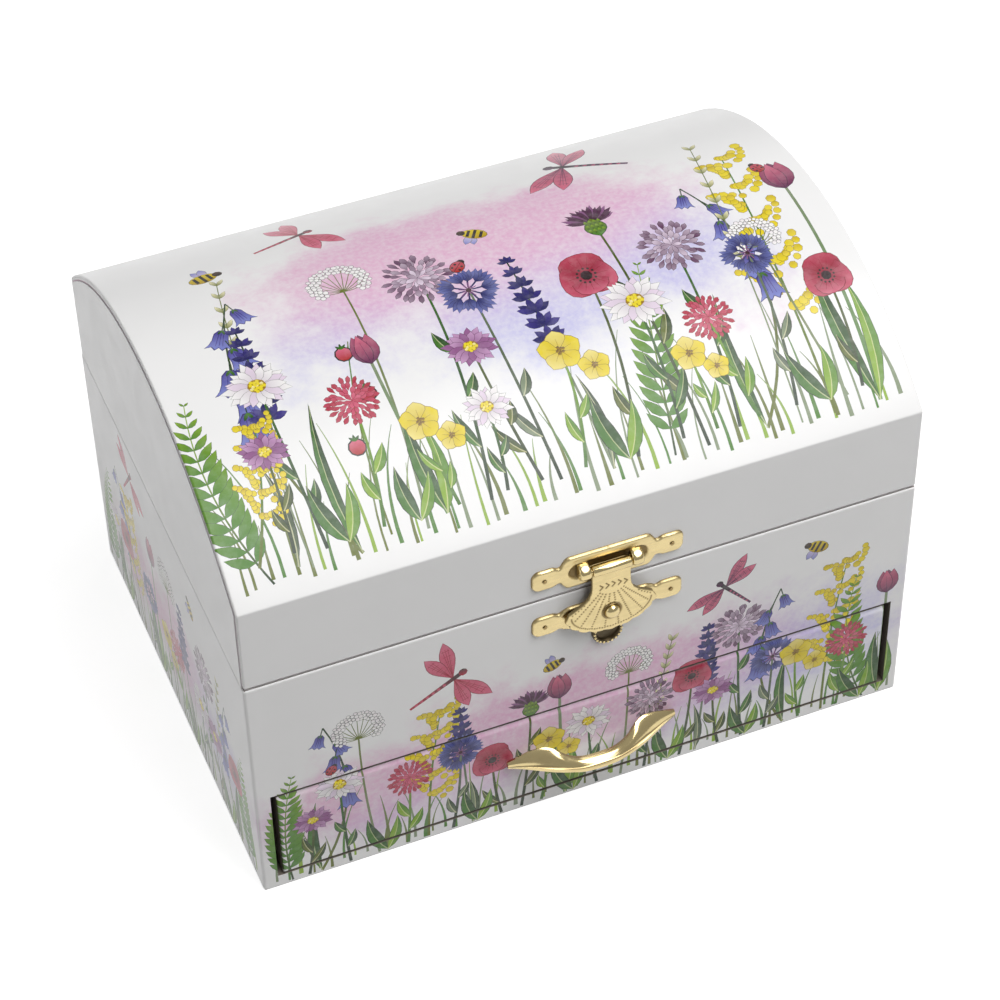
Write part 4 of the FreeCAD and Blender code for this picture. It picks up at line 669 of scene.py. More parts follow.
    def thistle(self, middle, radius):
        for k in range(17):
            angle = UP + (k - 8) * 0.155 + self.jog(0.05)
            long, shade = radius * self.rng.uniform(1.15, 1.4), "plum" if k % 3 else "mauve"
            self.petal(middle, angle, long, radius * 0.24, "maroon", shade, 1.6, "ink", 0.08)
        self.petal(middle - 1j * radius * 0.85, UP, radius * 1.25, radius * 0.95, "leaf", "moss", 0.9, "dark", 0.16, 6)
        for row in range(3):
            for k in range(4):
                spot = middle + complex((k - 1.5) * radius * 0.2, -radius * (0.62 - 0.3 * row))
                self.petal(spot, UP, radius * 0.3, radius * 0.16, "dark", "lime")

    def fern(self, foot, top, bow, reach):
        near, far = "leaf", "lime"
        line = self.stem(foot, top, bow, 16, 0.5, 0.2, "dark", far)
        for k in range(2, 17):
            way = phase(line[k] - line[k - 1])
            long = reach * sin(pi * (0.25 + 0.72 * k / 16)) + 0.6
            for side in (-1, 1):
                self.petal(line[k], way + side * 1.05, long, long * 0.34, near, blend(near, far, k / 16), 0.9,
                           inked("dark", 0.3), 0.07, bend=-side * 0.4)

    def ear(self, foot, top, bow, size):
        """A grass stalk with its ear."""
        line = self.stem(foot, top, bow, 14, 0.42, 0.2, "sage", "moss")
        for k in range(7, 15):
            way = phase(line[k] - line[k - 1])
            for side in (-1, 1):
                self.petal(line[k], way + side * 0.5, size, size * 0.36, "moss", "cream", 1.0, inked("moss", 0.4), 0.07)

    def hips(self, foot, top, bow, size):
        line = self.stem(foot, top, bow, 8, 0.5, 0.25, "moss", "leaf")
        for k in (4, 6, 8):
            spot = line[k] + complex(size * (0.7 if k % 4 else -0.6), -size * 0.9)
            self.stroke(self.arc(line[k], spot, 0.2, 4), 0.22, 0.2, "moss")
            self.dot(spot, size * 0.62, "ink", sides=10)
            self.dot(spot, size * 0.52, "red", "rose", 10)
            for turn in (2.3, 1.57, 0.8):
                self.petal(spot + 1j * size * 0.4, turn, size * 0.5, size * 0.2, "leaf", "dark")

    def stalk(self, foot, top, bow, leaves, light, deep, size):
        line = self.stem(foot, top, bow, 10, 0.8, 0.5, inked(deep, 0.25), blend(light, deep, 0.4))
        for k in range(leaves):
            spot = line[2 + 2 * k]
            side = 1 if (k + int(foot.real)) % 2 else -1
            way = phase(line[3 + 2 * k] - spot)
            long = size * (1 + self.jog(0.2)) * (1 - 0.12 * k)
            self.leaf(spot, way - side * 0.75, long, size * 0.26, side * 0.55, light, deep)

    def dragonfly(self, middle, angle, size, near):
        far, way = "rose", rect(1, angle)
        root = middle + way * size * 0.1
        for turn, share in ((1.25, 0.72), (-1.25, 0.72), (1.75, 0.62), (-1.75, 0.62)):
            spread, long = angle + turn, size * share
            self.petal(root, spread, long, size * 0.2, blend(near, far, 0.5), far, 1.35, inked(near, 0.45), 0.16, 8)
            for k in (-0.07, 0.0, 0.07):
                self.stroke([root, root + rect(long * 0.82, spread + k)], 0.17, 0.08, inked(near, 0.2))
            for k in range(4):
                spot = root + rect(long * (0.35 + 0.14 * k), spread)
                span = rect(size * 0.055, spread + 1.57)
                self.stroke([spot - span, spot + span], 0.12, 0.12, inked(near, 0.15))
        self.stroke([middle + way * size * 0.2, middle - way * size * 0.6], size * 0.075, size * 0.04, "ink", near)
        for k in range(6):
            self.dot(middle - way * size * (0.05 + 0.09 * k), size * 0.026, far, near, 6)
        self.dot(middle + way * size * 0.25, size * 0.065, near, "ink")

    def bee(self, middle, angle, size):
        way = rect(1, angle)
        for turn in (1.9, 1.45):
            root = middle + way * size * 0.1
            self.petal(root, angle + turn, size * 0.62, size * 0.26, "pale", "sky", 1.4, "grey", 0.12, 7)
        self.dot(middle, size * 0.42 + 0.12, "ink", None, 14, 0.62, angle)
        self.dot(middle, size * 0.42, "gold", "yellow", 14, 0.62, angle)
        for k in (-0.22, 0.0, 0.2):
            half = size * (0.24 - abs(k) * 0.3)
            spot = middle + way * size * k
            self.stroke([spot - way * 1j * half, spot + way * 1j * half], size * 0.1, size * 0.1, "ink")
        self.dot(middle + way * size * 0.44, size * 0.15, "ink", "brown")

    def ladybird(self, middle, angle, size):
        way = rect(1, angle)
        self.dot(middle + way * size * 0.4, size * 0.2, "ink")
        self.dot(middle, size * 0.46, "ink", None, 12, 0.82, angle)
        self.dot(middle, size * 0.42, "red", blend("red", "rose", 0.5), 12, 0.82, angle)
        self.stroke([middle - way * size * 0.42, middle + way * size * 0.4], 0.14, 0.14, "ink")
        for l, h in ((0.12, 0.18), (0.12, -0.18), (-0.16, 0.2), (-0.16, -0.2)):
            self.dot(middle + way * size * complex(l, h), size * 0.075, "ink", sides=6)


def meadow(sheet, half, ground, height, density=1.0):
    """Grass along the ground, behind the flowers."""
    rng, wide = sheet.rng, 2 * half
    count = int(wide * 0.36 * density)
    for k in range(count):
        x = -half + wide * (k + rng.random()) / count
        tall = height * rng.uniform(0.25, 0.8)
        lean = sheet.jog(0.25)
        foot = complex(x, ground + rng.uniform(0, 2))
        shade = rng.choice(("moss", "sage", "leaf", "lime"))
        sheet.stem(foot, foot + complex(lean * tall, tall), lean * 0.6, 8, rng.uniform(0.5, 1.1), 0.12,
                   shade, blend(shade, "sage", 0.6))


# Flowers on leafy stalks: leaves, their greens and length, then the flower, its radius and its own values.
STALKED = {
    "clover": (3, "leaf", "dark", 9, "clover", 8.2, "plum", "pale"),
    "red_clover": (2, "lime", "leaf", 9, "clover", 6.2, "crimson", "rose"),
    "daisy": (2, "leaf", "dark", 8, "daisy", 7.4, 14, "white", "pale", "grey", 0.86),
    "lilac_daisy": (2, "moss", "dark", 8, "daisy", 6.6, 13, "lilac", "mauve", "plum", 0.8),
    "cornflower": (2, "sage", "dark", 8, "cornflower", 6.4),
    "poppy": (1, "moss", "dark", 8, "poppy", 6.4),
    "buttercup": (2, "lime", "leaf", 7, "buttercup", 4.6),
    "thistle": (3, "moss", "dark", 8, "thistle", 4.6),
}
# Plants drawn from the ground up: sway and size.
STEMMED = {"bluebell": (0.22, 6.2), "lavender": (0, 3.9), "spray": (0.08, 8.6), "umbel": (0, 8.6), "tulip": (0, 9.2),
           "fern": (0.12, 6.4), "ear": (0.1, 2.6), "hips": (0.15, 3.4)}
# Leaves at the foot of a plant: turn, length against the plant's height, width, bend and greens.
BLADES = {
    "bluebell": ((0.3, 0.5, 2.4, -0.5, "leaf", "dark"),),
    "lavender": ((-0.25, 0.4, 1.8, 0.5, "sage", "dark"),),
    "tulip": ((0.35, 0.62, 3.4, -0.45, "leaf", "dark"), (-0.35, 0.5, 3.0, 0.45, "lime", "leaf")),
}


def plant(sheet, kind, x, tall, lean, size, ground=1):
    """One plant of the meadow, rooted on the ground line."""
    foot = complex(x, ground)
    top = foot + complex(lean * tall, tall)
    bow = -lean * 0.45
    if kind in STALKED:
        leaves, light, deep, long, flower, radius, *own = STALKED[kind]
        sheet.stalk(foot, top, bow, leaves, light, deep, long * size)
        if flower == "clover":
            own.append(x)
        getattr(sheet, flower)(top, radius * size, *own)
        if flower == "buttercup":
            sheet.buttercup(top + complex(5.4, -5.0) * size, 3.4 * size)
    elif kind in STEMMED:
        sway, reach = STEMMED[kind]
        if kind == "bluebell" and lean > 0:
            sway = -sway
        getattr(sheet, kind)(foot, top, bow + sway, reach * size)
    else:
        sheet.leaf(foot, UP + 0.7 - lean, tall, tall * 0.24, -0.6)
        sheet.leaf(foot, UP - 0.6 - lean, tall * 0.85, tall * 0.2, 0.6, "lime", "leaf")
    for turn, share, wide, bend, light, deep in BLADES.get(kind, ()):
        sheet.leaf(foot, UP + turn, tall * share, wide, bend, light, deep)


def planted(text):
    """Rows of a plant's kind, place, height, lean and size; on the roof also its ground line."""
    rows = (row.split() for row in text.split(","))
    return [(kind, *map(float, values)) for kind, *values in rows]


ROOF_PLANTS = planted("""
    fern -70 44 -0.12 1.1 4, ear -61 78 0.06 1.2 5, bluebell -50 70 -0.1 1.15 5, umbel -35 62 0.05 1 6,
    lavender -64 58 0.1 1.1 6, spray 60 74 0.06 1.15 5, tulip 71 58 0.03 1.1 5, bluebell 44 66 0.1 1 6,
    fern 22 46 0.2 1 6, thistle 30 62 -0.04 1.15 6, ear 52 82 0.1 1.2 5, lavender 8 56 -0.06 1.05 7,
    clover -20 58 0.08 1 8, cornflower -4 50 -0.05 1.1 8, hips -43 46 0.14 1 7, daisy -57 40 -0.05 1.05 8,
    poppy 14 45 0.12 1.1 8, tulip -30 38 -0.1 0.9 8, clover 38 47 0.06 0.95 8, umbel 64 40 -0.12 0.85 8,
    lilac_daisy -8 34 -0.12 1 9, spray -72 30 0.3 0.75 8, red_clover -44 29 0.1 1 9, daisy 25 34 0.05 1.1 9,
    cornflower 52 38 0.1 0.95 9, buttercup 2 27 0.15 1.1 9, poppy 68 27 0.08 0.95 9, lilac_daisy -64 23 0.05 0.9 9,
    buttercup -27 20 -0.1 1 9, red_clover 43 25 -0.1 0.95 9, daisy -16 19 0.1 0.8 9, buttercup 33 18 0 0.9 9,
    leaves -52 15 0 1 8, leaves 12 16 0.1 1 8, leaves 60 15 -0.1 1 8, leaves -36 13 0.2 1 8
""")
FRONT_PLANTS = planted("""
    fern -73 34 0.05 0.9, bluebell -66 47 0.06 0.85, umbel -52 40 -0.08 0.85, spray -40 40 0.1 0.9,
    lavender -29 38 -0.06 0.95, thistle -17 33 0.08 0.9, tulip -6 33 -0.04 0.85, umbel 8 34 0.05 0.8,
    ear 17 40 0.08 1, lavender 27 40 0.06 0.95, clover 39 38 -0.05 0.85, bluebell 50 46 -0.06 0.9,
    spray 60 48 0.08 0.95, fern 71 42 -0.1 0.95, tulip 75 34 0 0.8, daisy -59 27 -0.05 0.85,
    red_clover -45 22 0.05 0.9, cornflower -34 25 0.1 0.85, poppy -22 19 -0.1 0.85, buttercup -12 20 0.1 0.9,
    daisy 2 22 -0.1 0.85, clover 14 23 0.05 0.75, poppy 23 26 0.1 0.85, lilac_daisy 33 19 -0.1 0.85,
    cornflower 45 24 0.05 0.9, buttercup 54 23 -0.08 0.95, red_clover 64 22 0.06 0.9, lilac_daisy -69 18 0.1 0.8,
    leaves -50 13 0 1, leaves -28 12 0.1 1, leaves -4 12 -0.1 1, leaves 20 13 0.1 1, leaves 40 12 0 1,
    leaves 70 14 -0.1 1
""")
SIDE_PLANTS = planted("""
    fern -52 36 0.1 0.9, bluebell -42 46 0.06 0.9, spray -28 42 -0.06 0.9, tulip -15 37 0.05 0.9,
    umbel -2 40 0.04 0.85, lavender 11 42 -0.05 1, clover 24 38 0.05 0.85, ear 34 45 0.06 1, bluebell 45 42 -0.1 0.85,
    fern 54 34 -0.1 0.85, daisy -47 23 0.1 0.85, poppy -34 24 -0.1 0.85, cornflower -21 22 0.1 0.9,
    buttercup -8 20 0.1 0.9, red_clover 5 23 -0.1 0.9, daisy 18 22 0.1 0.9, lilac_daisy 31 21 -0.05 0.9,
    poppy 42 23 0.1 0.8, leaves -40 13 0 1, leaves -14 13 0.1 1, leaves 12 12 0 1, leaves 38 13 0 1
""")


# Sheets.

ROUND_STEPS = (0.03, 0.1, 0.2, 0.35, 0.6, 1.0)
BEND_STEPS = (0.25, 0.5, 1.0)
LINE_STEP = 4.0
PRINT_GRID = 5.0
CDT_NEAR = 1e-5
PAPER = 0.34
FRONT_LAP = 0.4
ROOF_LINES = 36
NO_INK = (1.0, 1.0, 1.0, 0.0)


def clamp(value, low, high):
    return max(low, min(high, value))


def drop(near, radius):
    """How far a rounded edge falls back at a distance from it."""
    t = clamp(near, 0.0, radius)
    return radius - sqrt(max(radius ** 2 - (radius - t) ** 2, 0.0))


def corners(left, right, low, high):
    return [complex(left, low), complex(right, low), complex(right, high), complex(left, high)]


def across(left, right, heights):
    """Level lines over a sheet."""
    return [(complex(left, y), complex(right, y)) for y in heights]


def upright(low, high, places):
    """Lines up a sheet."""
    return [(complex(x, low), complex(x, high)) for x in places]


def around(middle, radius, count):
    """Points on a circle."""
    return [middle + rect(radius, TURN * k / count) for k in range(count)]


def lattice(left, right, low, high, step):
    """Staggered points inside a rectangle."""
    rows, columns = int((high - low) / step), int((right - left) / step)
    return [complex(left + (right - left) * (k + 0.31 * (j % 2)) / columns, low + (high - low) * j / rows)
            for j in range(1, rows) for k in range(1, columns)]


def area_of(outline):
    return sum((a.conjugate() * b).imag for a, b in zip(outline, outline[1:] + outline[:1]))


def split(rings, lines, points=()):
    """Cuts a flat sheet into triangles along its rings and lines."""
    verts, edges, faces = [], [], []
    for ring in rings:
        faces.append(list(range(len(verts), len(verts) + len(ring))))
        verts += ring
    for line in lines:
        edges.append((len(verts), len(verts) + 1))
        verts += line
    flat = [Vector((p.real, p.imag)) for p in [*verts, *points]]
    return delaunay_2d_cdt(flat, edges, faces, 1, CDT_NEAR, True)


def closed_sheet(outline, place, back, holes=(), lines=(), points=(), shapes=()):
    """A sheet as one closed mesh: a detailed front, edge walls and a plain back.

    Returns the places, the faces, the front's flat points, its normals and the uppermost shape of each front face."""
    steps = []
    for a, b in lines:
        count = max(int(abs(b - a) / LINE_STEP), 1)
        steps += [(a + (b - a) * k / count, a + (b - a) * (k + 1) / count) for k in range(count)]
    rings = [outline, *holes, *(shape[0] for shape in shapes)]
    flat, _, tris, _, _, origins = split(rings, steps, points)
    boxes = []
    for ring in rings:
        xs, ys = [p.real for p in ring], [p.imag for p in ring]
        boxes.append((min(xs), max(xs), min(ys), max(ys)))

    def covers(k, x, y):
        left, right, low, high = boxes[k]
        return left <= x <= right and low <= y <= high

    kept, tops = [], []
    for tri, source in zip(tris, origins):
        if 0 in source and not any(0 < k <= len(holes) for k in source):
            x, y = sum(flat[k].x for k in tri) / 3, sum(flat[k].y for k in tri) / 3
            kept.append(tri)
            tops.append(max((k for k in source if k and covers(k, x, y)), default=0))
    used = sorted({k for tri in kept for k in tri})
    index = {k: n for n, k in enumerate(used)}
    front = [[index[k] for k in tri] for tri in kept]
    spots = [flat[k] for k in used]
    directed = {(tri[i], tri[(i + 1) % 3]) for tri in front for i in range(3)}
    rim = [(a, b) for a, b in directed if (b, a) not in directed]
    after = dict(rim)
    loops = []
    while after:
        start, spot = after.popitem()
        loops.append([start])
        while spot != start:
            loops[-1].append(spot)
            spot = after.pop(spot)
    loops.sort(key=lambda loop: area_of([complex(*spots[k]) for k in loop]), reverse=True)
    loops[1:] = [loop[::-1] for loop in loops[1:]]
    names = [k for loop in loops for k in loop]
    rear, _, tris, sources, _, origins = split([[complex(*spots[k]) for k in loop] for loop in loops], lines)
    both = [place(p.x, p.y) for p in spots]
    places, normals = [p for p, _ in both], [n for _, n in both]
    behind, rear_of = {}, []
    for spot, source in zip(rear, sources):
        known = [names[k] for k in source if k < len(names)]
        where = spots[known[0]] if known else spot
        rear_of.append(len(places))
        behind.update((k, len(places)) for k in known)
        places.append(back(where.x, where.y))
    faces = front + [[b, a, behind[a], behind[b]] for a, b in rim]
    faces += [[rear_of[k] for k in reversed(tri)] for tri, source in zip(tris, origins) if source == [0]]
    return places, faces, spots, normals, tops


def new_object(name, data):
    made = bpy.data.objects.new(name, data)
    bpy.context.collection.objects.link(made)
    return made


def fitted(made, body, replaces=()):
    """Ties a piece to its body and the CAD nodes it stands for."""
    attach(made, body)
    if replaces:
        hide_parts(*replaces)
    return made


def glow(x, y, spots):
    """Wash colour and strength at points: soft spots of (x, y, wide, tall, colour, strength)."""
    total = np.full(x.shape, 1e-6)
    mixed = np.full(x.shape + (3,), 1e-6)
    for sx, sy, wide, tall, shade, strength in spots:
        w = strength * np.exp(-((x - sx) / wide) ** 2 - ((y - sy) / tall) ** 2)
        total += w
        mixed += w[:, None] * np.array(shade)
    return np.column_stack((mixed / total[:, None], np.minimum(total, 1.0)))


def tinted(mesh, label, values, domain="CORNER"):
    """Stores a colour for each corner or point of a mesh."""
    layer = mesh.color_attributes.new(label, "FLOAT_COLOR", domain)
    layer.data.foreach_set("color", values)


def printed_sheet(name, body, replaces, box, lines, shapes, wash, spread, place, back, holes=(), shaded_above=1e9):
    """A papered piece with its ink, wash, chart and normals; grey board shows at its cut edges, and on front faces
    above a given height it is painted shade.
    """
    points = lattice(*box, PRINT_GRID)
    places, faces, spots, normals, tops = closed_sheet(corners(*box), place, back, holes, lines, points, shapes)
    mesh = bpy.data.meshes.new(name)
    mesh.from_pydata([p * MM for p in places], [], faces)
    mesh.materials.append(printed_paper())
    mesh.materials.append(board_finish())
    count, fronts = len(mesh.loops), len(tops)
    front = 3 * fronts
    corner = np.array(faces[:fronts]).ravel()
    flat = np.array([complex(p.x, p.y) for p in spots])
    rows = [((), WHITE, WHITE, 0j, 1j), *shapes]
    which = np.repeat(np.maximum(np.array(tops) - len(holes), 0), 3)
    near, far, start, end = (np.array([row[k] for row in rows])[which] for k in range(1, 5))
    run = end - start
    share = np.clip(((flat[corner] - start) * run.conjugate()).real / np.abs(run) ** 2, 0, 1)[:, None]
    ink = np.tile(NO_INK, (count, 1))
    tint = ink.copy()
    ink[:front, :3] = near + (far - near) * share
    ink[:front, 3] = which > 0
    tint[:front] = glow(flat.real, flat.imag, wash)[corner]
    tinted(mesh, "ink", ink.ravel())
    tinted(mesh, "wash", tint.ravel())
    hidden, aside = 0.985, 0.995
    chart = np.full((count, 2), hidden)
    chart[front::2, 0] = aside
    chart[front::3, 1] = aside
    chart[:front] = np.array([spread(p.x, p.y) for p in spots])[corner]
    mesh.uv_layers.new(name="OFBake").data.foreach_set("uv", chart.ravel())
    mesh.polygons.foreach_set("use_smooth", np.arange(len(faces)) < fronts)
    # Edge walls and back take the grey board finish; so do front faces above the given height, where the board is
    # painted shade.
    board_or_shade = np.ones(len(faces), dtype=np.int32)
    board_or_shade[:fronts] = flat[corner].imag.reshape(-1, 3).mean(axis=1) > shaded_above
    mesh.polygons.foreach_set("material_index", board_or_shade)
    facing = np.zeros((count, 3))
    facing[:front] = np.array([tuple(n) for n in normals])[corner]
    mesh.normals_split_custom_set(facing.tolist())
    fitted(new_object(name, mesh), body, replaces)


def plain_paper(name, shape, body, sharp, soften=0.0):
    """Bare paper: no ink and no wash."""
    mesh = solid(name, shape, body, printed_paper(), (), sharp, soften).data
    for label in ("ink", "wash"):
        tinted(mesh, label, NO_INK * len(mesh.loops))


def moved(shapes, by):
    return [([p + by for p in outline], near, far, a + by, b + by) for outline, near, far, a, b in shapes]


def within(shapes, left, right):
    """The shapes that touch a stretch of the sheet."""
    return [s for s in shapes if max(p.real for p in s[0]) > left and min(p.real for p in s[0]) < right]


# Pictures and papers.

ROOF_CREATURES = (
    ("dragonfly", 34, 96, 2.6, 22, "plum"), ("dragonfly", -34, 98, 0.35, 18, "crimson"), ("bee", -58, 88, 0.2, 8.0),
    ("bee", 2, 76, 2.6, 7.0), ("ladybird", -6, 66, 0.8, 4.6), ("ladybird", 70, 72, 2.0, 4.2),
)
FRONT_CREATURES = (
    ("dragonfly", -34, 50, 0.5, 17, "crimson"), ("bee", 56, 57, 2.7, 6.5), ("dragonfly", 34, 52, 2.3, 14, "plum"),
    ("ladybird", -62, 33.5, 1.0, 3.6), ("bee", -9, 45, 0.4, 5.5),
)


def picture(seed, half, ground, tall, plants, creatures=(), density=1.0):
    """The shapes of a meadow with its plants and creatures."""
    sheet = Print(seed)
    meadow(sheet, half, ground, tall, density)
    for each in plants:
        plant(sheet, *each)
    for kind, x, y, *rest in creatures:
        getattr(sheet, kind)(complex(x, y), *rest)
    return sheet.shapes


def washes():
    look = bpy.context.scene.box_paper
    return tuple(look.pink_wash), tuple(look.blue_wash)


def front_picture():
    """The picture and washes that run over the case's front and the drawer."""
    pink, blue = washes()
    wash = [(-62, 22, 26, 15, pink, 0.7), (-20, 28, 30, 16, pink, 1.0), (22, 32, 28, 16, pink, 1.0),
            (60, 30, 24, 16, blue, 0.7), (40, 14, 30, 10, blue, 0.4), (-40, 10, 30, 9, blue, 0.3)]
    return picture(11, 78, 1.0, 30.0, FRONT_PLANTS, FRONT_CREATURES), wash


def side_picture(seed, flip):
    plants = [(kind, x * flip, tall, lean * flip, size) for kind, x, tall, lean, size in SIDE_PLANTS]
    creatures = (("dragonfly", -26 * flip, 54, 0.9, 15, "crimson"), ("bee", 20 * flip, 54, 2.2, 6.0))
    return picture(seed, 57, 1.0, 30.0, plants, creatures, 0.7)


def back_picture():
    plants = [(kind, x * 1.32, tall * 0.75, lean, size * 0.9) for kind, x, tall, lean, size in SIDE_PLANTS]
    return picture(41, 77, 1.0, 24.0, plants, (), 0.5)


def papered_case():
    look = bpy.context.scene.box_paper
    pink, blue = washes()
    bend, lip = look.corner_round / MM, look.edge_round / MM
    low, high = CASE_LOW.z, CASE_TOP
    runs = ((complex(-HALF_W, HALF_D), -1j, 2 * HALF_D), (complex(-HALF_W, -HALF_D), 1 + 0j, 2 * HALF_W),
            (complex(HALF_W, -HALF_D), 1j, 2 * HALF_D), (complex(HALF_W, HALF_D), -1 + 0j, 2 * HALF_W))
    starts = [sum(run[2] for run in runs[:k]) for k in range(5)]

    def ground(u):
        """Plan position and outward direction at a place along the wrap, which starts at the back left corner."""
        k = max(i for i in range(4) if u >= starts[i] - 1e-6)
        corner, way, long = runs[k]
        along = u - starts[k]
        if bend <= along <= long - bend:
            return corner + way * along, way * -1j
        if along < bend:
            first, second, share = runs[k - 1][1], way, 0.5 + 0.5 * along / bend
        else:
            corner, first, second = corner + way * long, way, runs[(k + 1) % 4][1]
            share = 0.5 - 0.5 * (long - along) / bend
        out = rect(1, phase(first * -1j) + share * UP)
        return corner - first * bend + second * bend + out * bend, out

    def fall(v):
        return drop(high - v, lip) + drop(v - low, lip)

    def place(u, v):
        spot, out = ground(u)
        spot -= out * fall(v)
        tilt = clamp((lip - (high - v)) / lip, 0, 1) - clamp((lip - (v - low)) / lip, 0, 1)
        level = sqrt(max(1 - tilt * tilt, 0.0))
        return Vector((spot.real, spot.imag, v)), Vector((out.real * level, out.imag * level, tilt))

    def back(u, v):
        spot, out = ground(u)
        spot -= out * max(PAPER, fall(v) + 0.02)
        return Vector((spot.real, spot.imag, v))

    front_at, back_at = starts[1] + HALF_W, starts[3] + HALF_W
    shapes, wash = front_picture()
    shapes = moved(shapes, front_at)
    wash = [(x + front_at, *rest) for x, *rest in wash]
    for seed, at, flip in ((21, starts[0] + HALF_D, 1), (31, starts[2] + HALF_D, -1)):
        shapes += moved(side_picture(seed, flip), at)
        wash += [(at - 30, 24, 22, 15, pink, 0.8), (at + 4, 27, 20, 15, pink, 0.9), (at + 36, 24, 20, 15, blue, 0.6)]
    shapes += moved(back_picture(), back_at)
    wash += [(back_at - 40, 18, 30, 12, pink, 0.7), (back_at + 40, 18, 30, 12, blue, 0.6)]
    door = corners(front_at - DOOR_X, front_at + DOOR_X, DOOR_LOW, DOOR_HIGH)
    bush_low, bush_high = mm("key_bush")
    key_at = complex(back_at - (bush_low.x + bush_high.x) / 2, (bush_low.z + bush_high.z) / 2)
    hole_r = 3.2
    key_hole = around(key_at, hole_r, 28)
    near = [t * bend for t in BEND_STEPS]
    for k, (name, holes) in enumerate((("left", []), ("front", [door]), ("right", []), ("back", [key_hole]))):
        left, right = starts[k], starts[k + 1]
        lines = upright(low, high, [left + t for t in near] + [right - t for t in near])
        for t in ROUND_STEPS:
            lines += across(left, right, (low + t * lip, high - t * lip))
        margin = 2
        span = right - left + 2 * margin
        printed_sheet(
            f"case_paper_{name}", "case", ["case_wrap"], (left, right, low, high), lines, within(shapes, left, right),
            wash, lambda u, v: ((u - left + margin) / span, (v - low + margin) / span), place, back, holes)
    gap = 0.07
    inner_x, inner_y = DOOR_X - gap, mm("back_wall")[0].y - gap
    foot = mm("linings")[1].z + 0.05
    rim = [(HALF_W - lip, HALF_D - lip, z) for z in (high - 0.02, high + 0.05)]
    rim += [(inner_x + t, inner_y + t, z) for t, z in (
        (0.3, high + 0.05), (0.1, high - 0.02), (0.0, high - 0.3), (0.0, foot), (0.06, foot), (0.06, high - 0.02))]
    rings = [[Vector((p.real, p.imag, z)) for p in corners(-x, x, -y, y)] for x, y, z in rim]
    plain_paper("case_rim_paper", hoop(rings), "case", 40)


def lid_profile(lip):
    """Points (y, z) and outward angles of the lid's wrap, from the front foot over the roof to the back foot."""
    ease = 0.7
    spots = []
    for k in range(5):
        a = UP * k / 4
        spots.append((complex(-HALF_D + lip - lip * sin(a), LID_FOOT + lip - lip * cos(a)), pi * 1.5 - a))
    start = UP + ROOF_HALF
    turn = pi - start
    reach = ease * tan(turn / 2)
    middle = complex(-HALF_D + ease, CREASE - reach)
    for k in range(5):
        a = pi - turn * k / 5
        spots.append((middle + rect(ease, a), a))
    edge = reach / DOME_R
    half = len(spots)
    for k in range(ROOF_LINES + 1):
        a = start - edge - (2 * ROOF_HALF - 2 * edge) * k / ROOF_LINES
        spots.append((complex(0, DOME_Z) + rect(DOME_R, a), a))
    return spots + [(complex(-p.real, p.imag), pi - a) for p, a in reversed(spots[:half])], half


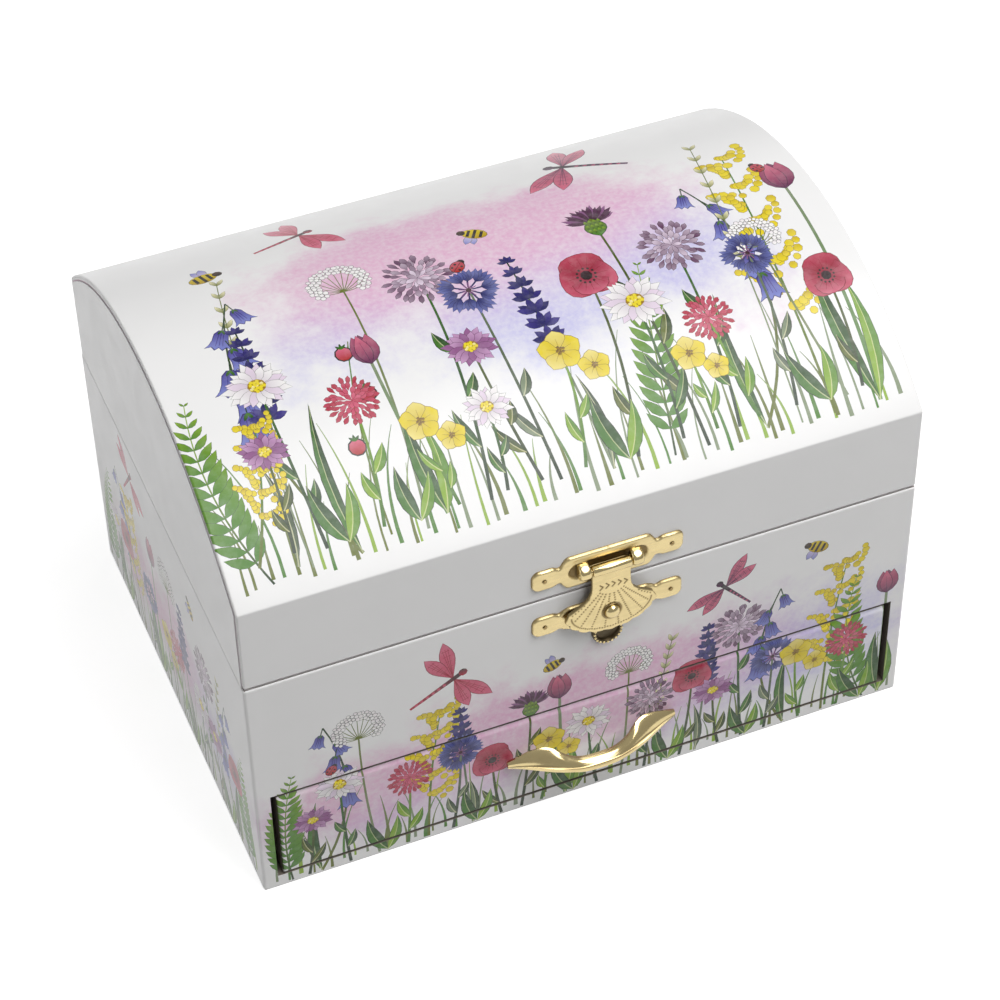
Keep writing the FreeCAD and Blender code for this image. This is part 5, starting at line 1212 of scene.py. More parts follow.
def papered_lid():
    pink, blue = washes()
    ease = bpy.context.scene.box_paper.edge_round / MM
    profile, half = lid_profile(ease)
    lengths = [0.0]
    for (a, _), (b, _) in zip(profile, profile[1:]):
        lengths.append(lengths[-1] + abs(b - a))
    total = lengths[-1]
    end_x = WALL_X + 0.12

    def along(v):
        k = clamp(bisect.bisect_right(lengths, v) - 1, 0, len(lengths) - 2)
        t = clamp((v - lengths[k]) / (lengths[k + 1] - lengths[k]), 0, 1)
        (a, first), (b, last) = profile[k], profile[k + 1]
        return a + (b - a) * t, first + (last - first) * t

    def place(u, v):
        spot, angle = along(v)
        near = end_x - abs(u)
        spot -= rect(drop(near, ease), angle)
        tilt = clamp((ease - near) / ease, 0, 1) * (1 if u > 0 else -1)
        out = rect(sqrt(max(1 - tilt * tilt, 0)), angle)
        return Vector((u, spot.real, spot.imag)), Vector((tilt, out.real, out.imag))

    def back(u, v):
        spot, angle = along(v)
        spot -= rect(max(PAPER, drop(end_x - abs(u), ease) + 0.02), angle)
        return Vector((u, spot.real, spot.imag))

    crease_at, roof_to = lengths[half], lengths[-1 - half]

    def spread(u, v):
        """Chart place: the roof in full size, the front and back walls smaller above it."""
        margin, small, front_row, back_row, span = 2, 0.4, 136, 148, 172
        x, y = u + HALF_W, v - crease_at
        if v < crease_at:
            x, y = x * small, front_row + v * small
        elif v > roof_to:
            x, y = x * small, back_row + (v - roof_to) * small
        return (x + margin) / span, (y + margin) / span

    shapes = moved(picture(7, 77, 3.0, 42.0, ROOF_PLANTS, ROOF_CREATURES), 1j * crease_at)
    wash = [(x, y + crease_at, *rest) for x, y, *rest in (
        (-20, 74, 30, 18, pink, 1.3), (22, 74, 28, 16, pink, 1.2), (-44, 50, 18, 13, blue, 0.5),
        (4, 44, 26, 14, blue, 0.9), (46, 52, 20, 14, blue, 0.8), (58, 30, 20, 12, pink, 0.3))]
    lines = across(-end_x, end_x, lengths[1:-1])
    for t in ROUND_STEPS:
        lines += upright(0, total, (t * ease - end_x, end_x - t * ease))
    printed_sheet("lid_paper", "lid", ["lid_wrap"], (-end_x, end_x, 0, total), lines, shapes, wash, spread, place, back)

    def inset(by, foot):
        """The outline of the lid's end, drawn in from its edge."""
        radius, side = DOME_R - by, HALF_D - by
        lean = asin(side / radius)
        arc = [complex(0, DOME_Z) + rect(radius, UP - lean + 2 * lean * k / 32) for k in range(33)]
        return [complex(-side, foot), complex(side, foot)] + arc

    def slab(outline, holes, low, high):
        """A flat sheet between two upright planes."""
        sheet = closed_sheet(
            outline, lambda y, z: (Vector((high, y, z)), None), lambda y, z: Vector((low, y, z)), holes)
        return sheet[:2]

    hem_by, panel_by, hem_thick = 1.05, 1.35, 0.15
    rim, hem = inset(ease + 0.02, LID_FOOT + ease), inset(hem_by, LID_FOOT + 0.7)
    panel = inset(panel_by, LID_FOOT - FRONT_LAP)
    for name, flip in (("left", -1), ("right", 1)):
        border = slab(rim, [hem], flip * (end_x - hem_thick), flip * end_x)
        middle = slab(panel, [], flip * (WALL_X - 0.02), flip * HALF_W)
        plain_paper(f"lid_end_paper_{name}", joined(border, middle), "lid", 30, 0.08)


def papered_drawer():
    low, high = FRONT_LOW - Vector((0.0, 0.0, FRONT_LAP)), FRONT_HIGH
    top_r, side_r = 1.7, 0.6

    def place(u, v):
        sides = ((high.z - v, top_r, 0, 1), (v - low.z, side_r, 0, -1),
                 (high.x - u, side_r, 1, 0), (u - low.x, side_r, -1, 0))
        near, radius, x, z = max(sides, key=lambda side: drop(*side[:2]))
        tilt = clamp(1 - near / radius, 0, 1)
        level = sqrt(max(1 - tilt * tilt, 0))
        return Vector((u, drop(near, radius) - HALF_D, v)), Vector((x * tilt, -level, z * tilt))

    shapes, wash = front_picture()
    shapes = [s for s in shapes if min(p.imag for p in s[0]) < high.z]
    lines = []
    for t in ROUND_STEPS:
        lines += across(low.x, high.x, (low.z + t * side_r, high.z - t * top_r))
        lines += upright(low.z, high.z, (low.x + t * side_r, high.x - t * side_r))
    box = (low.x, high.x, low.z, high.z)
    margin, span = 1, 156
    # The top of the front's rounded upper edge takes the grey board finish, as a painted shadow line under the case
    # front.
    printed_sheet(
        "drawer_paper", "drawer", ["drawer_wrap", "drawer_front"], box, lines, shapes, wash,
        lambda u, v: ((u - low.x + margin) / span, (v - low.z + margin) / span), place,
        lambda u, v: Vector((u, high.y, v)), shaded_above=high.z - 0.2 * top_r)


# Solids.

def loft(rings, capped=True):
    """Faces between rings of equal count; capped closes the ends."""
    count = len(rings[0])
    verts = [p for ring in rings for p in ring]
    faces = []
    for j in range(len(rings) - 1):
        for k in range(count):
            i = (k + 1) % count
            faces.append((j * count + k, j * count + i, (j + 1) * count + i, (j + 1) * count + k))
    if capped:
        faces += [tuple(reversed(range(count))), tuple(range((len(rings) - 1) * count, len(rings) * count))]
    return verts, faces


def hoop(rings):
    """A loft whose last ring joins the first."""
    return loft(rings + rings[:1], False)


def joined(*parts):
    """Several sets of verts and faces as one."""
    verts, faces = [], []
    for more, shapes in parts:
        faces += [[k + len(verts) for k in face] for face in shapes]
        verts += more
    return verts, faces


def lathe(profile, middle, axis, sides):
    """A turned shape: (radius, height) pairs along an axis."""
    axis = Vector(axis).normalized()
    side = axis.orthogonal().normalized()
    other = axis.cross(side)
    rings = []
    for radius, height in profile:
        ring = []
        for k in range(sides):
            a = TURN * k / sides
            ring.append(Vector(middle) + axis * height + (side * cos(a) + other * sin(a)) * max(radius, 1e-3))
        rings.append(ring)
    return loft(rings)


def solid(name, shape, body, material, replaces=(), sharp=40.0, soften=0.0, weld=1e-7):
    """A closed piece with outward faces; edges sharper than the given angle stay crisp."""
    verts, faces = shape
    mesh = bpy.data.meshes.new(name)
    mesh.from_pydata([p * MM for p in verts], [], faces)
    work = bmesh.new()
    work.from_mesh(mesh)
    bmesh.ops.remove_doubles(work, verts=work.verts, dist=weld)
    bmesh.ops.recalc_face_normals(work, faces=work.faces)
    work.to_mesh(mesh)
    work.free()
    mesh.materials.append(material)
    mesh.shade_smooth()
    mesh.set_sharp_from_angle(angle=radians(sharp))
    made = fitted(new_object(name, mesh), body, replaces)
    if soften:
        edge = made.modifiers.new("soft edge", "BEVEL")
        edge.width = soften * MM
        edge.segments = 2
        edge.limit_method = "ANGLE"
    return made


def marked(piece, values):
    """Stores how far the brass is darkened at each point, by patina in hollows or by painted shade; points past the
    list get none.
    """
    layer = piece.data.attributes.new("hollow", "FLOAT", "POINT")
    layer.data.foreach_set("value", values + [0.0] * (len(piece.data.vertices) - len(values)))


# Repeated small shapes, by geometry nodes.

def bead_tree(material):
    """Places a small rounded head on each point, facing the way the point says."""
    tree = bpy.data.node_groups.new("heads on points", "GeometryNodeTree")
    for label, kind, value in (("Geometry", "Geometry", None), ("Radius", "Float", 0.001), ("Height", "Float", 0.5),
                               ("Detail", "Int", 2)):
        socket = tree.interface.new_socket(label, in_out="INPUT", socket_type="NodeSocket" + kind)
        if value:
            socket.default_value = value
    tree.interface.new_socket("Geometry", in_out="OUTPUT", socket_type="NodeSocketGeometry")
    s = Shader(tree)
    given = s.node("NodeGroupInput").outputs
    head = s.node("GeometryNodeMeshIcoSphere", {"Radius": given["Radius"], "Subdivisions": given["Detail"]})
    way = s.node("GeometryNodeInputNamedAttribute", {"Name": "facing"}, data_type="FLOAT_VECTOR")
    turn = s.node("FunctionNodeAlignRotationToVector", {"Vector": way.outputs["Attribute"]}, axis="Z")
    size = s.node("ShaderNodeCombineXYZ", {0: 1.0, 1: 1.0, 2: given["Height"]})
    many = s.node("GeometryNodeInstanceOnPoints", {
        "Points": given["Geometry"], "Instance": head.outputs["Mesh"],
        "Rotation": turn.outputs["Rotation"], "Scale": size.outputs[0]})
    real = s.node("GeometryNodeRealizeInstances", {"Geometry": many.outputs["Instances"]})
    smooth = s.node("GeometryNodeSetShadeSmooth", {"Geometry": real.outputs["Geometry"]})
    dress = s.node("GeometryNodeSetMaterial", {"Geometry": smooth.outputs["Geometry"], "Material": material})
    s.node("NodeGroupOutput", {"Geometry": dress.outputs["Geometry"]})
    return tree


def heads(name, spots, facing, radius, height, material, body, replaces=(), detail=2):
    """Nails, beads or buttons at points (millimetres), each a low dome."""
    mesh = bpy.data.meshes.new(name)
    mesh.from_pydata([Vector(p) * MM for p in spots], [], [])
    layer = mesh.attributes.new("facing", "FLOAT_VECTOR", "POINT")
    layer.data.foreach_set("vector", [c for way in facing for c in way])
    made = new_object(name, mesh)
    modifier = made.modifiers.new("heads", "NODES")
    modifier.node_group = bead_tree(material)
    values = {"Radius": radius * MM, "Height": height, "Detail": detail}
    for item in modifier.node_group.interface.items_tree:
        if item.in_out == "INPUT" and item.name in values:
            modifier[item.identifier] = values[item.name]
    made.data = evaluated(made)
    made.modifiers.clear()
    return fitted(made, body, replaces)


def evaluated(made):
    """A mesh of an object with its modifiers applied."""
    return bpy.data.meshes.new_from_object(made.evaluated_get(bpy.context.evaluated_depsgraph_get()))


def islands(node):
    """The boxes of the separate shapes in a CAD node, in millimetres."""
    shape = bmesh.new()
    shape.from_mesh(NODES[node].data)
    bmesh.ops.remove_doubles(shape, verts=shape.verts, dist=1e-6)
    found, seen = [], set()
    for vert in shape.verts:
        if vert in seen:
            continue
        group, queue = [], [vert]
        seen.add(vert)
        while queue:
            here = queue.pop()
            group.append(here.co / MM)
            for there in (edge.other_vert(here) for edge in here.link_edges):
                if there not in seen:
                    seen.add(there)
                    queue.append(there)
        found.append([Vector([most(p[i] for p in group) for i in range(3)]) for most in (min, max)])
    shape.free()
    return found


# Brass fittings.

def from_line(x, z, a, b):
    """Distance of points from a stretch of line."""
    run = b - a
    t = np.clip(((x - a.real) * run.real + (z - a.imag) * run.imag) / max(run.real ** 2 + run.imag ** 2, 1e-12), 0, 1)
    return np.hypot(x - a.real - t * run.real, z - a.imag - t * run.imag)


def deepest(marks):
    return np.maximum.reduce(list(marks))


def pressed(far, size):
    """A mark's depth at a distance from its middle."""
    return np.clip(1 - (far / size) ** 2, 0, 1)


def dents(x, z, spots, radius):
    """Round punch marks."""
    return deepest(pressed(np.hypot(x - p.real, z - p.imag), radius) for p in spots)


def scores(x, z, lines, wide):
    """Straight chisel marks."""
    return deepest(pressed(from_line(x, z, a, b), wide) for a, b in lines)


def stamped(node, body, outline, spacing, front_y, back_y, relief, round_r, extras=()):
    """A plate stamped from sheet: outline in x and z, relief gives rise and darkening at points; extras are polished.
    Its rim and side walls are darkened as painted shade.
    """
    xs, zs = [p.real for p in outline], [p.imag for p in outline]
    points = lattice(min(xs), max(xs), min(zs), max(zs), spacing)
    turned = outline if area_of(outline) > 0 else outline[::-1]
    for k, p in enumerate(turned):
        way = turned[(k + 1) % len(turned)] - turned[k - 1]
        points += [p + way / abs(way) * 1j * t * round_r for t in (0.04, 0.16, 0.42, 0.85)]
    places, faces, spots, _, _ = closed_sheet(
        turned, lambda x, z: (Vector((x, front_y, z)), None), lambda x, z: Vector((x, back_y, z)), (), (), points)
    x, z = np.array([p.x for p in spots]), np.array([p.y for p in spots])
    far = np.minimum.reduce([from_line(x, z, a, b) for a, b in zip(turned, turned[1:] + turned[:1])])
    edge = np.clip(far, 0, round_r)
    fall = round_r - np.sqrt(np.maximum(round_r ** 2 - (round_r - edge) ** 2, 0))
    rise, hollow = relief(x, z)
    # Near the edge and on the side walls the brass is darkened as painted shade, a dark outline round each plate.
    painted_edge_shade = 0.7
    hollow = np.maximum(hollow, painted_edge_shade * np.clip(1.3 - edge / (0.3 * round_r), 0, 1))
    for k in range(len(spots)):
        places[k] = Vector((x[k], front_y + min(fall[k], abs(back_y - front_y) - 0.05) - rise[k], z[k]))
    hollow = list(hollow) + [painted_edge_shade] * (len(places) - len(spots))
    shape = joined((places, faces), *extras)
    piece = solid(f"{node}_stamped", shape, body, stamped_brass(), [node], 50, weld=1e-9)
    if extras:
        piece.data.materials.append(polished_brass())
        for face in piece.data.polygons[len(faces):]:
            face.material_index = 1
    marked(piece, hollow)


def plate_outline(middle, half_high):
    """A strap with two blunt ends, short waists and a deeper middle."""
    ends, waist, long, corner = 2.85, 2.3, 18.0, 1.9
    line = [complex(long, 0)]
    line += [complex(long - corner, ends - corner) + rect(corner, UP * k / 8) for k in range(9)]
    line += [complex(x, z) for x, z in (
        (13.5, ends), (12.8, ends - 0.1), (12.3, waist + 0.2), (11.8, waist), (11.3, waist + 0.08),
        (10.7, waist + 0.45 * (half_high - waist)), (10.0, half_high - 0.35),
        (9.2, half_high), (4.0, half_high), (0.0, half_high))]
    upper = line + [complex(-p.real, p.imag) for p in line[-2::-1]]
    lower = [p.conjugate() for p in upper[-2:0:-1]]
    return [middle + p for p in upper + lower]


HASP_PIN_Y, HASP_PIN_Z = -61.7, 73.4
NAIL_X = 15.1
ARCH = ((-1.35, 0.8), (-1.25, 0.9), (-1.0, 0.97), (-0.7, 1.0), (0.7, 1.0), (1.0, 0.97), (1.25, 0.9), (1.35, 0.8))


def on_pin(profile, middle, sides):
    """A shape turned round the hasp's pin, its two ends alike."""
    both = profile + [(radius, -height) for radius, height in reversed(profile)]
    return lathe(both, (middle, HASP_PIN_Y, HASP_PIN_Z), (1, 0, 0), sides)


def strap_relief(x, z, middle):
    """The raised ends of a strap, and its nail holes."""
    rise = 0.1 * np.exp(-((np.abs(x - middle.real) - 14.8) ** 2 + (z - middle.imag) ** 2) / 6)
    return rise, dents(x, z, (middle - NAIL_X, middle + NAIL_X), 0.7)


def hasp_plates():
    low, high = mm("hasp_upper_plate")
    plate_low, plate_high = mm("hasp_lower_plate")
    sheet_y, back_y = plate_low.y, plate_high.y
    middle = (plate_low.x + plate_high.x) / 2
    upper, lower = complex(middle, (low.z + high.z) / 2), complex(middle, (plate_low.z + plate_high.z) / 2)

    def upper_relief(x, z):
        rise, hole = strap_relief(x, z, upper)
        # The slot above the pin and the wells beside the loops are sunk and darkened fully, as painted shade in them;
        # the nail dents are darkened too.
        slot_half, slot_z, slot_edge = 4.6, HASP_PIN_Z + 0.9, 0.2
        slot = 1 + slot_edge - np.maximum(np.abs(x - middle) / slot_half, np.abs(z - slot_z))
        slot = np.clip(slot, 0, slot_edge) / slot_edge
        eye_x, eye_wide, eye_tall = 7.0, 2.5, 2.3
        eyes = [np.hypot((x - middle - side * eye_x) / eye_wide, (z - HASP_PIN_Z + 0.1) / eye_tall) for side in (-1, 1)]
        well = deepest(np.clip((1 - d) / 0.12, 0, 1) for d in eyes)
        ring = deepest(np.exp(-((d - 1.12) / 0.1) ** 2) for d in eyes)
        sunk = deepest((slot, well * 0.8, hole * 0.3))
        return rise + 0.12 * ring - 0.55 * sunk, deepest((slot, well, hole * 0.8))

    def lower_relief(x, z):
        rise, hole = strap_relief(x, z, lower)
        return rise - 0.16 * hole, hole * 0.8

    def arch(t, size, side):
        x, reach = middle + side * 6.2 + t, (HASP_PIN_Y - 1.4 - sheet_y) * size
        return [Vector((x, sheet_y + 0.1 + reach * sin(a), HASP_PIN_Z + 2.1 * size * cos(a)))
                for a in (pi * k / 16 for k in range(17))]

    extras = [loft([arch(t, size, side) for t, size in ARCH]) for side in (-1, 1)]
    extras.append(on_pin([(0.0, -7.7), (0.5, -7.7), (0.6, -7.55)], middle, 16))
    spacing, round_r = 0.34, 0.75
    for node, body, at, tall, relief, more in (
            ("hasp_upper_plate", "lid", upper, high.z - low.z, upper_relief, extras),
            ("hasp_lower_plate", "case", lower, plate_high.z - plate_low.z, lower_relief, ())):
        stamped(node, body, plate_outline(at, tall / 2), spacing, sheet_y, back_y, relief, round_r, more)

    low, high = mm("hasp_socket")
    centre = Vector(((low.x + high.x) / 2, high.y, (low.z + high.z) / 2))
    outer = (high.x - low.x) / 2
    profile = [(0.0, 0.0), (outer, 0.0), (outer, 0.5), (outer - 0.15, 0.85), (outer - 0.5, 1.05), (outer - 0.9, 0.95),
               (outer - 1.1, 0.6), (outer - 1.2, 0.3), (1.5, 0.22), (1.2, 0.3), (0.0, 0.32)]
    # The socket ring is coloured near-black brass: painted shade in the cup under the flap.
    dark = plastic_finish("dark brass", (0.07, 0.05, 0.022), 0.35, 0.7)
    solid("hasp_socket_ring", lathe(profile, centre, (0, -1, 0), 40), "case", dark, ["hasp_socket"], 45)
    spots = [centre + Vector((p.real, -0.98, p.imag)) for p in around(0, outer - 0.48, 20)]
    heads("hasp_socket_beads", spots, [(0, -1, 0)] * 20, 0.33, 0.8, polished_brass(), "case")


NECK = ((4.6, 73.6), (4.6, 71.0), (4.6, 68.6), (4.75, 67.0), (5.3, 65.5), (6.6, 64.2), (8.6, 63.0), (10.0, 62.1))
SHOULDER_DOTS = ((9.3, 61.9), (8.6, 62.35), (7.9, 62.85), (7.2, 63.35), (6.5, 63.95))


def hasp_flap():
    low, high = mm("hasp_flap")
    middle = (low.x + high.x) / 2
    front_y, back_y = -62.1, -61.3
    heart, root, knob = complex(middle, 61.0), complex(middle, 69.6), complex(middle, 60.2)
    wide, deep, lobes = 10.5, 6.5, 9

    def on_fan(share, size=1.0, inside=0.0):
        """A place along the shell's lower edge."""
        a = -pi * share
        return heart + complex((wide - inside) * size * cos(a), (deep - inside) * size * sin(a))

    right = [complex(middle + x, z) for x, z in NECK]
    fan = [on_fan(t, 1.0 + 0.05 * abs(sin(pi * lobes * t))) for t in (k / 72 for k in range(73))]
    outline = right + fan + [complex(2 * middle - p.real, p.imag) for p in right[::-1]]
    marks, pitch = [], 0.72
    for end in (on_fan(k / lobes) for k in range(1, lobes)):
        way = (end - root) / abs(end - root)
        rib = [root + way * (4.2 + pitch * k) for k in range(int((abs(end - root) - 4.6) / pitch))]
        marks += [p for p in rib if abs(p - knob) > 2.6]
    marks += [on_fan((k + 0.5) / 46, inside=0.95) for k in range(46)]
    marks += [complex(middle + side * x, z) for side in (-1, 1) for x, z in SHOULDER_DOTS]
    chevrons = []
    for k in range(5):
        tip = complex(middle - 2.5 + 1.45 * k + 0.4, 68.3 - 0.06 * (k - 2) ** 2)
        chevrons += [(tip, tip + complex(-0.75, 0.72)), (tip, tip + complex(-0.75, -0.72))]

    def relief(x, z):
        bow = 0.22 * np.clip(1 - ((x - middle) / 11) ** 2 - ((z - 60) / 11) ** 2, 0, 1)
        spot = (x - root.real) + 1j * (z - root.imag)
        share = np.clip((np.angle(spot * 1j) + 0.62) / 1.24, 0, 1)
        flute = 0.1 * np.clip((np.abs(spot) - 4) / 4, 0, 1) * np.abs(np.sin(pi * lobes * share))
        # A shallow ring groove round the knob, darkened as a painted shadow ring.
        shaded_groove = np.exp(-((np.hypot(x - knob.real, z - knob.imag) - 2.3) / 0.2) ** 2)
        sunk = deepest((dents(x, z, marks, 0.3), scores(x, z, chevrons, 0.2) * 1.2, shaded_groove * 0.9))
        return bow + flute - 0.14 * sunk, np.clip(sunk, 0, 1)

    curl = on_pin([(0.0, -4.6), (1.0, -4.6), (1.2, -4.5), (1.3, -4.3)], middle, 32)
    stamped("hasp_flap", "hasp", outline, 0.15, front_y, back_y, relief, 0.32, [curl])
    dome = 1.8
    profile = [(0.0, -0.6), (2.15, -0.6), (2.15, 0.3), (2.05, 0.42), (1.9, 0.4), (dome + 0.02, 0.3)]
    profile += [(dome * cos(a), 0.35 + 1.45 * sin(a)) for a in (UP * k / 14 for k in range(15))]
    turned = lathe(profile, (middle, front_y, knob.imag), (0, -1, 0), 40)
    piece = solid("hasp_knob_turned", turned, "hasp", polished_brass(), ["hasp_knob"], 50)
    # The collar round the dome is darkened as painted shade.
    radii = [hypot(v.co.x / MM - middle, v.co.z / MM - knob.imag) for v in piece.data.vertices]
    marked(piece, [float(radius > dome + 0.01) for radius in radii])


def nails():
    dull, sunk = brass_finish("old brass", 0.34, 0.75), 0.25
    for node, body in (("lid_nails", "lid"), ("case_nails", "case")):
        spots, facing = [], []
        for low, high in islands(node):
            front = low.y < 0
            spots.append(((low.x + high.x) / 2, low.y + sunk if front else high.y - sunk, (low.z + high.z) / 2))
            facing.append((0, -1, 0) if front else (0, 1, 0))
        heads(f"{node}_heads", spots, facing, 0.45, 0.5, dull, body, [node], 3)


# The pull from its middle to its end: place, reach of the upper and lower rim, height of the upper and lower rim.
PULL = (
    (0, 0.6, 0.9, -0.8, -2.1), (0.2, 0.6, 0.89, -0.3, -1.9), (0.36, 0.54, 0.83, 1.2, -1.3),
    (0.47, 0.4, 0.76, 2.7, -0.9), (0.58, 0.27, 0.66, 3.3, -0.6), (0.72, 0.2, 0.49, 2.9, -0.3),
    (0.86, 0.17, 0.32, 2, 0), (1, 0.14, 0.16, 0.9, 0.1),
)


def drawer_pull():
    """A bowed band with a broad upper face and a rolled lower rim."""
    low, high = mm("drawer_pull")
    half = (high.x - low.x) / 2
    middle = (low.x + high.x) / 2
    tip_z, reach, thick, rim = 17.6, 8.4, 0.5, 0.4
    stations = [(-place, *rest) for place, *rest in PULL[:0:-1]] + list(PULL)

    def at(share):
        """The pull's values at a place, eased between its stations."""
        k = clamp(sum(1 for s in stations if s[0] <= share) - 1, 0, len(stations) - 2)
        p0, p1, p2, p3 = (stations[clamp(k + j, 0, len(stations) - 1)] for j in (-1, 0, 1, 2))
        t = (share - p1[0]) / (p2[0] - p1[0])
        values = []
        for i in range(1, 5):
            m1 = (p2[i] - p0[i]) / max(p2[0] - p0[0], 1e-6) * (p2[0] - p1[0])
            m2 = (p3[i] - p1[i]) / max(p3[0] - p1[0], 1e-6) * (p2[0] - p1[0])
            values.append((2 * t ** 3 - 3 * t ** 2 + 1) * p1[i] + (t ** 3 - 2 * t ** 2 + t) * m1
                          + (3 * t ** 2 - 2 * t ** 3) * p2[i] + (t ** 3 - t ** 2) * m2)
        return values

    rings, shaded_groove = [], []
    for k in range(121):
        share = -1 + 2 * k / 120
        up_out, low_out, up_z, low_z = at(share)
        upper = complex(HALF_D + reach * up_out, tip_z + up_z)
        lower = complex(HALF_D + reach * low_out, tip_z + low_z)
        run = lower - upper
        way = run / abs(run)
        out = way * 1j
        fade = min(abs(run) / 4, 1.0)
        section = []
        for t in (j / 14 for j in range(15)):
            bulge = 0.32 * sin(pi * min(t / 0.84, 1.0)) * fade
            lip = 0.3 * exp(-((t - 0.93) / 0.055) ** 2) * fade
            section.append(upper + run * t + out * (thick + bulge + lip))
            # A dark line along the groove between the broad face and the lower rim: painted shade.
            shaded_groove.append(exp(-((t - 0.857) / 0.045) ** 2))
        section += [lower + way * rim + out * 0.3, lower + way * rim - out * 0.3]
        section += [upper + run * (1 - j / 5) - out * thick for j in range(6)]
        section += [upper - way * rim - out * 0.3, upper - way * rim + out * 0.3]
        shaded_groove += [0.0] * 10
        rings.append([Vector((middle + half * share, -p.real, p.imag)) for p in section])
    piece = solid("drawer_pull_bowed", loft(rings), "drawer", polished_brass(), ["drawer_pull"], 60, weld=1e-9)
    marked(piece, shaded_groove)


# Linings and pads.

CLOTH_GRID = 2.5
CLOTH_ROUND = 0.4
HEM_STEPS = (0.04, 0.15, 0.4)
SIM_SCALE = 10.0
SIM_STEPS = 20


def rounded_ring(low, high, inset, radius, z, steps=6):
    """Points of a level rectangle with round corners."""
    x0, y0, x1, y1 = low[0] + inset, low[1] + inset, high[0] - inset, high[1] - inset
    r = clamp(radius, 0.02, min(x1 - x0, y1 - y0) / 2 - 0.02)
    spots = []
    for cx, cy, start in ((x1 - r, y0 + r, -90), (x1 - r, y1 - r, 0), (x0 + r, y1 - r, 90), (x0 + r, y0 + r, 180)):
        for a in (radians(start + 90 * k / steps) for k in range(steps + 1)):
            spots.append(Vector((cx + r * cos(a), cy + r * sin(a), z)))
    return spots


def tray_cloth(name, low, high):
    """Cloth glued into a tray: down the walls, round the foot and over the floor."""
    thick, gap, sweep = 0.5, 0.04, 3.0
    floor, top = low[2], high[2]
    wide, long, tall = high[0] - low[0], high[1] - low[1], top - floor
    middle = min(wide, long) / 2 - 1.0
    profile = [(middle, floor + gap), (0.4, floor + gap), (gap, floor + 0.4), (gap, top - 0.25),
               (gap + 0.12, top - 0.05), (thick - 0.12, top - 0.05), (thick, top - 0.25), (thick, top - 8)]
    for a in (UP * k / 8 for k in range(9)):
        profile.append((thick + sweep * (1 - cos(a)), floor + thick + sweep * (1 - sin(a))))
    profile += [(thick + sweep + 4, floor + thick + 0.05), (middle, floor + thick + 0.12)]
    rings = [rounded_ring(low, high, inset, max(2.0 - inset, 0.3) if inset < 2 else 1.5, z) for inset, z in profile]
    made = solid(name, loft(rings), "case", velvet_finish(), ["linings"], 60)


def floor_cloth(name, body, node, box, height, under, holes=()):
    """Cloth glued to a floor; height is its level at a place and a distance from its edge."""
    left, right, low, high = box

    def place(x, y):
        near = min(x - left, right - x, y - low, high - y, *(abs(complex(x, y) - at) - radius for at, radius in holes))
        return Vector((x, y, height(x, y, near) - drop(near, CLOTH_ROUND))), None

    lines = []
    for t in HEM_STEPS:
        lines += across(left, right, (low + t, high - t)) + upright(low, high, (left + t, right - t))
    points = lattice(*box, CLOTH_GRID)
    for at, radius in holes:
        points += around(at, radius + HEM_STEPS[1], 40) + around(at, radius + HEM_STEPS[2], 40)
    rings = [around(at, radius, 40) for at, radius in holes]
    sheet = closed_sheet(corners(*box), place, lambda x, y: Vector((x, y, under)), rings, lines, points)
    made = solid(name, sheet[:2], body, velvet_finish(), [node], 60)


def linings():
    partition = mm("stage_partitions")[1]
    deck_low, deck_high = mm("dance_deck")
    floor, inner_y, wall_x = mm("shelf")[1].z, mm("back_wall")[0].y, partition.x
    tray_cloth("left_tray_cloth", (-DOOR_X, -inner_y, floor), (-wall_x, inner_y, partition.z - 0.4))
    tray_cloth("right_tray_cloth", (wall_x, -inner_y, floor), (DOOR_X, inner_y, partition.z - 0.4))
    stage_y = mm("stage_front_wall")[0].y
    tray_cloth("front_tray_cloth", (-deck_high.x, -inner_y, floor), (deck_high.x, stage_y, deck_high.z))
    top, gap, spindle_r = deck_high.z, 0.05, 3.1
    box = (gap - deck_high.x, deck_high.x - gap, deck_low.y + gap, deck_high.y - gap)
    floor_cloth("stage_cloth", "case", "linings", box, lambda x, y, near: top + 0.5, top + 0.03,
                ((SPINDLE_AT, spindle_r),))

    low, high = mm("drawer_lining")
    rng = random.Random(3)
    spans = ((0.05, 0.16), (0, 6.3), (0.04, 0.14), (0, 6.3))
    waves = [[rng.uniform(*span) for span in spans] for _ in range(7)]

    def level(x, y, near):
        swell = sum(sin(a * x + b) * sin(c * y + d) for a, b, c, d in waves) / len(waves)
        return high.z + 0.22 * swell * clamp(near / 8, 0, 1)

    box = (low.x, high.x, low.y, high.y)
    floor_cloth("drawer_cloth", "drawer", "drawer_lining", box, level, low.z + 0.02)


def one_skin(shape, voxel, ease=0):
    """Grows shapes together into one skin, on a working object SIM_SCALE times the size."""
    verts, faces = shape
    mesh = bpy.data.meshes.new("skin")
    mesh.from_pydata([p * MM * SIM_SCALE for p in verts], [], faces)
    work = new_object("skin", mesh)
    net = work.modifiers.new("voxels", "REMESH")
    net.mode = "VOXEL"
    net.voxel_size = voxel * MM * SIM_SCALE
    if ease:
        work.modifiers.new("ease", "SMOOTH").iterations = ease
    work.data = evaluated(work)
    work.modifiers.clear()
    return work, [list(p.vertices) for p in work.data.polygons]


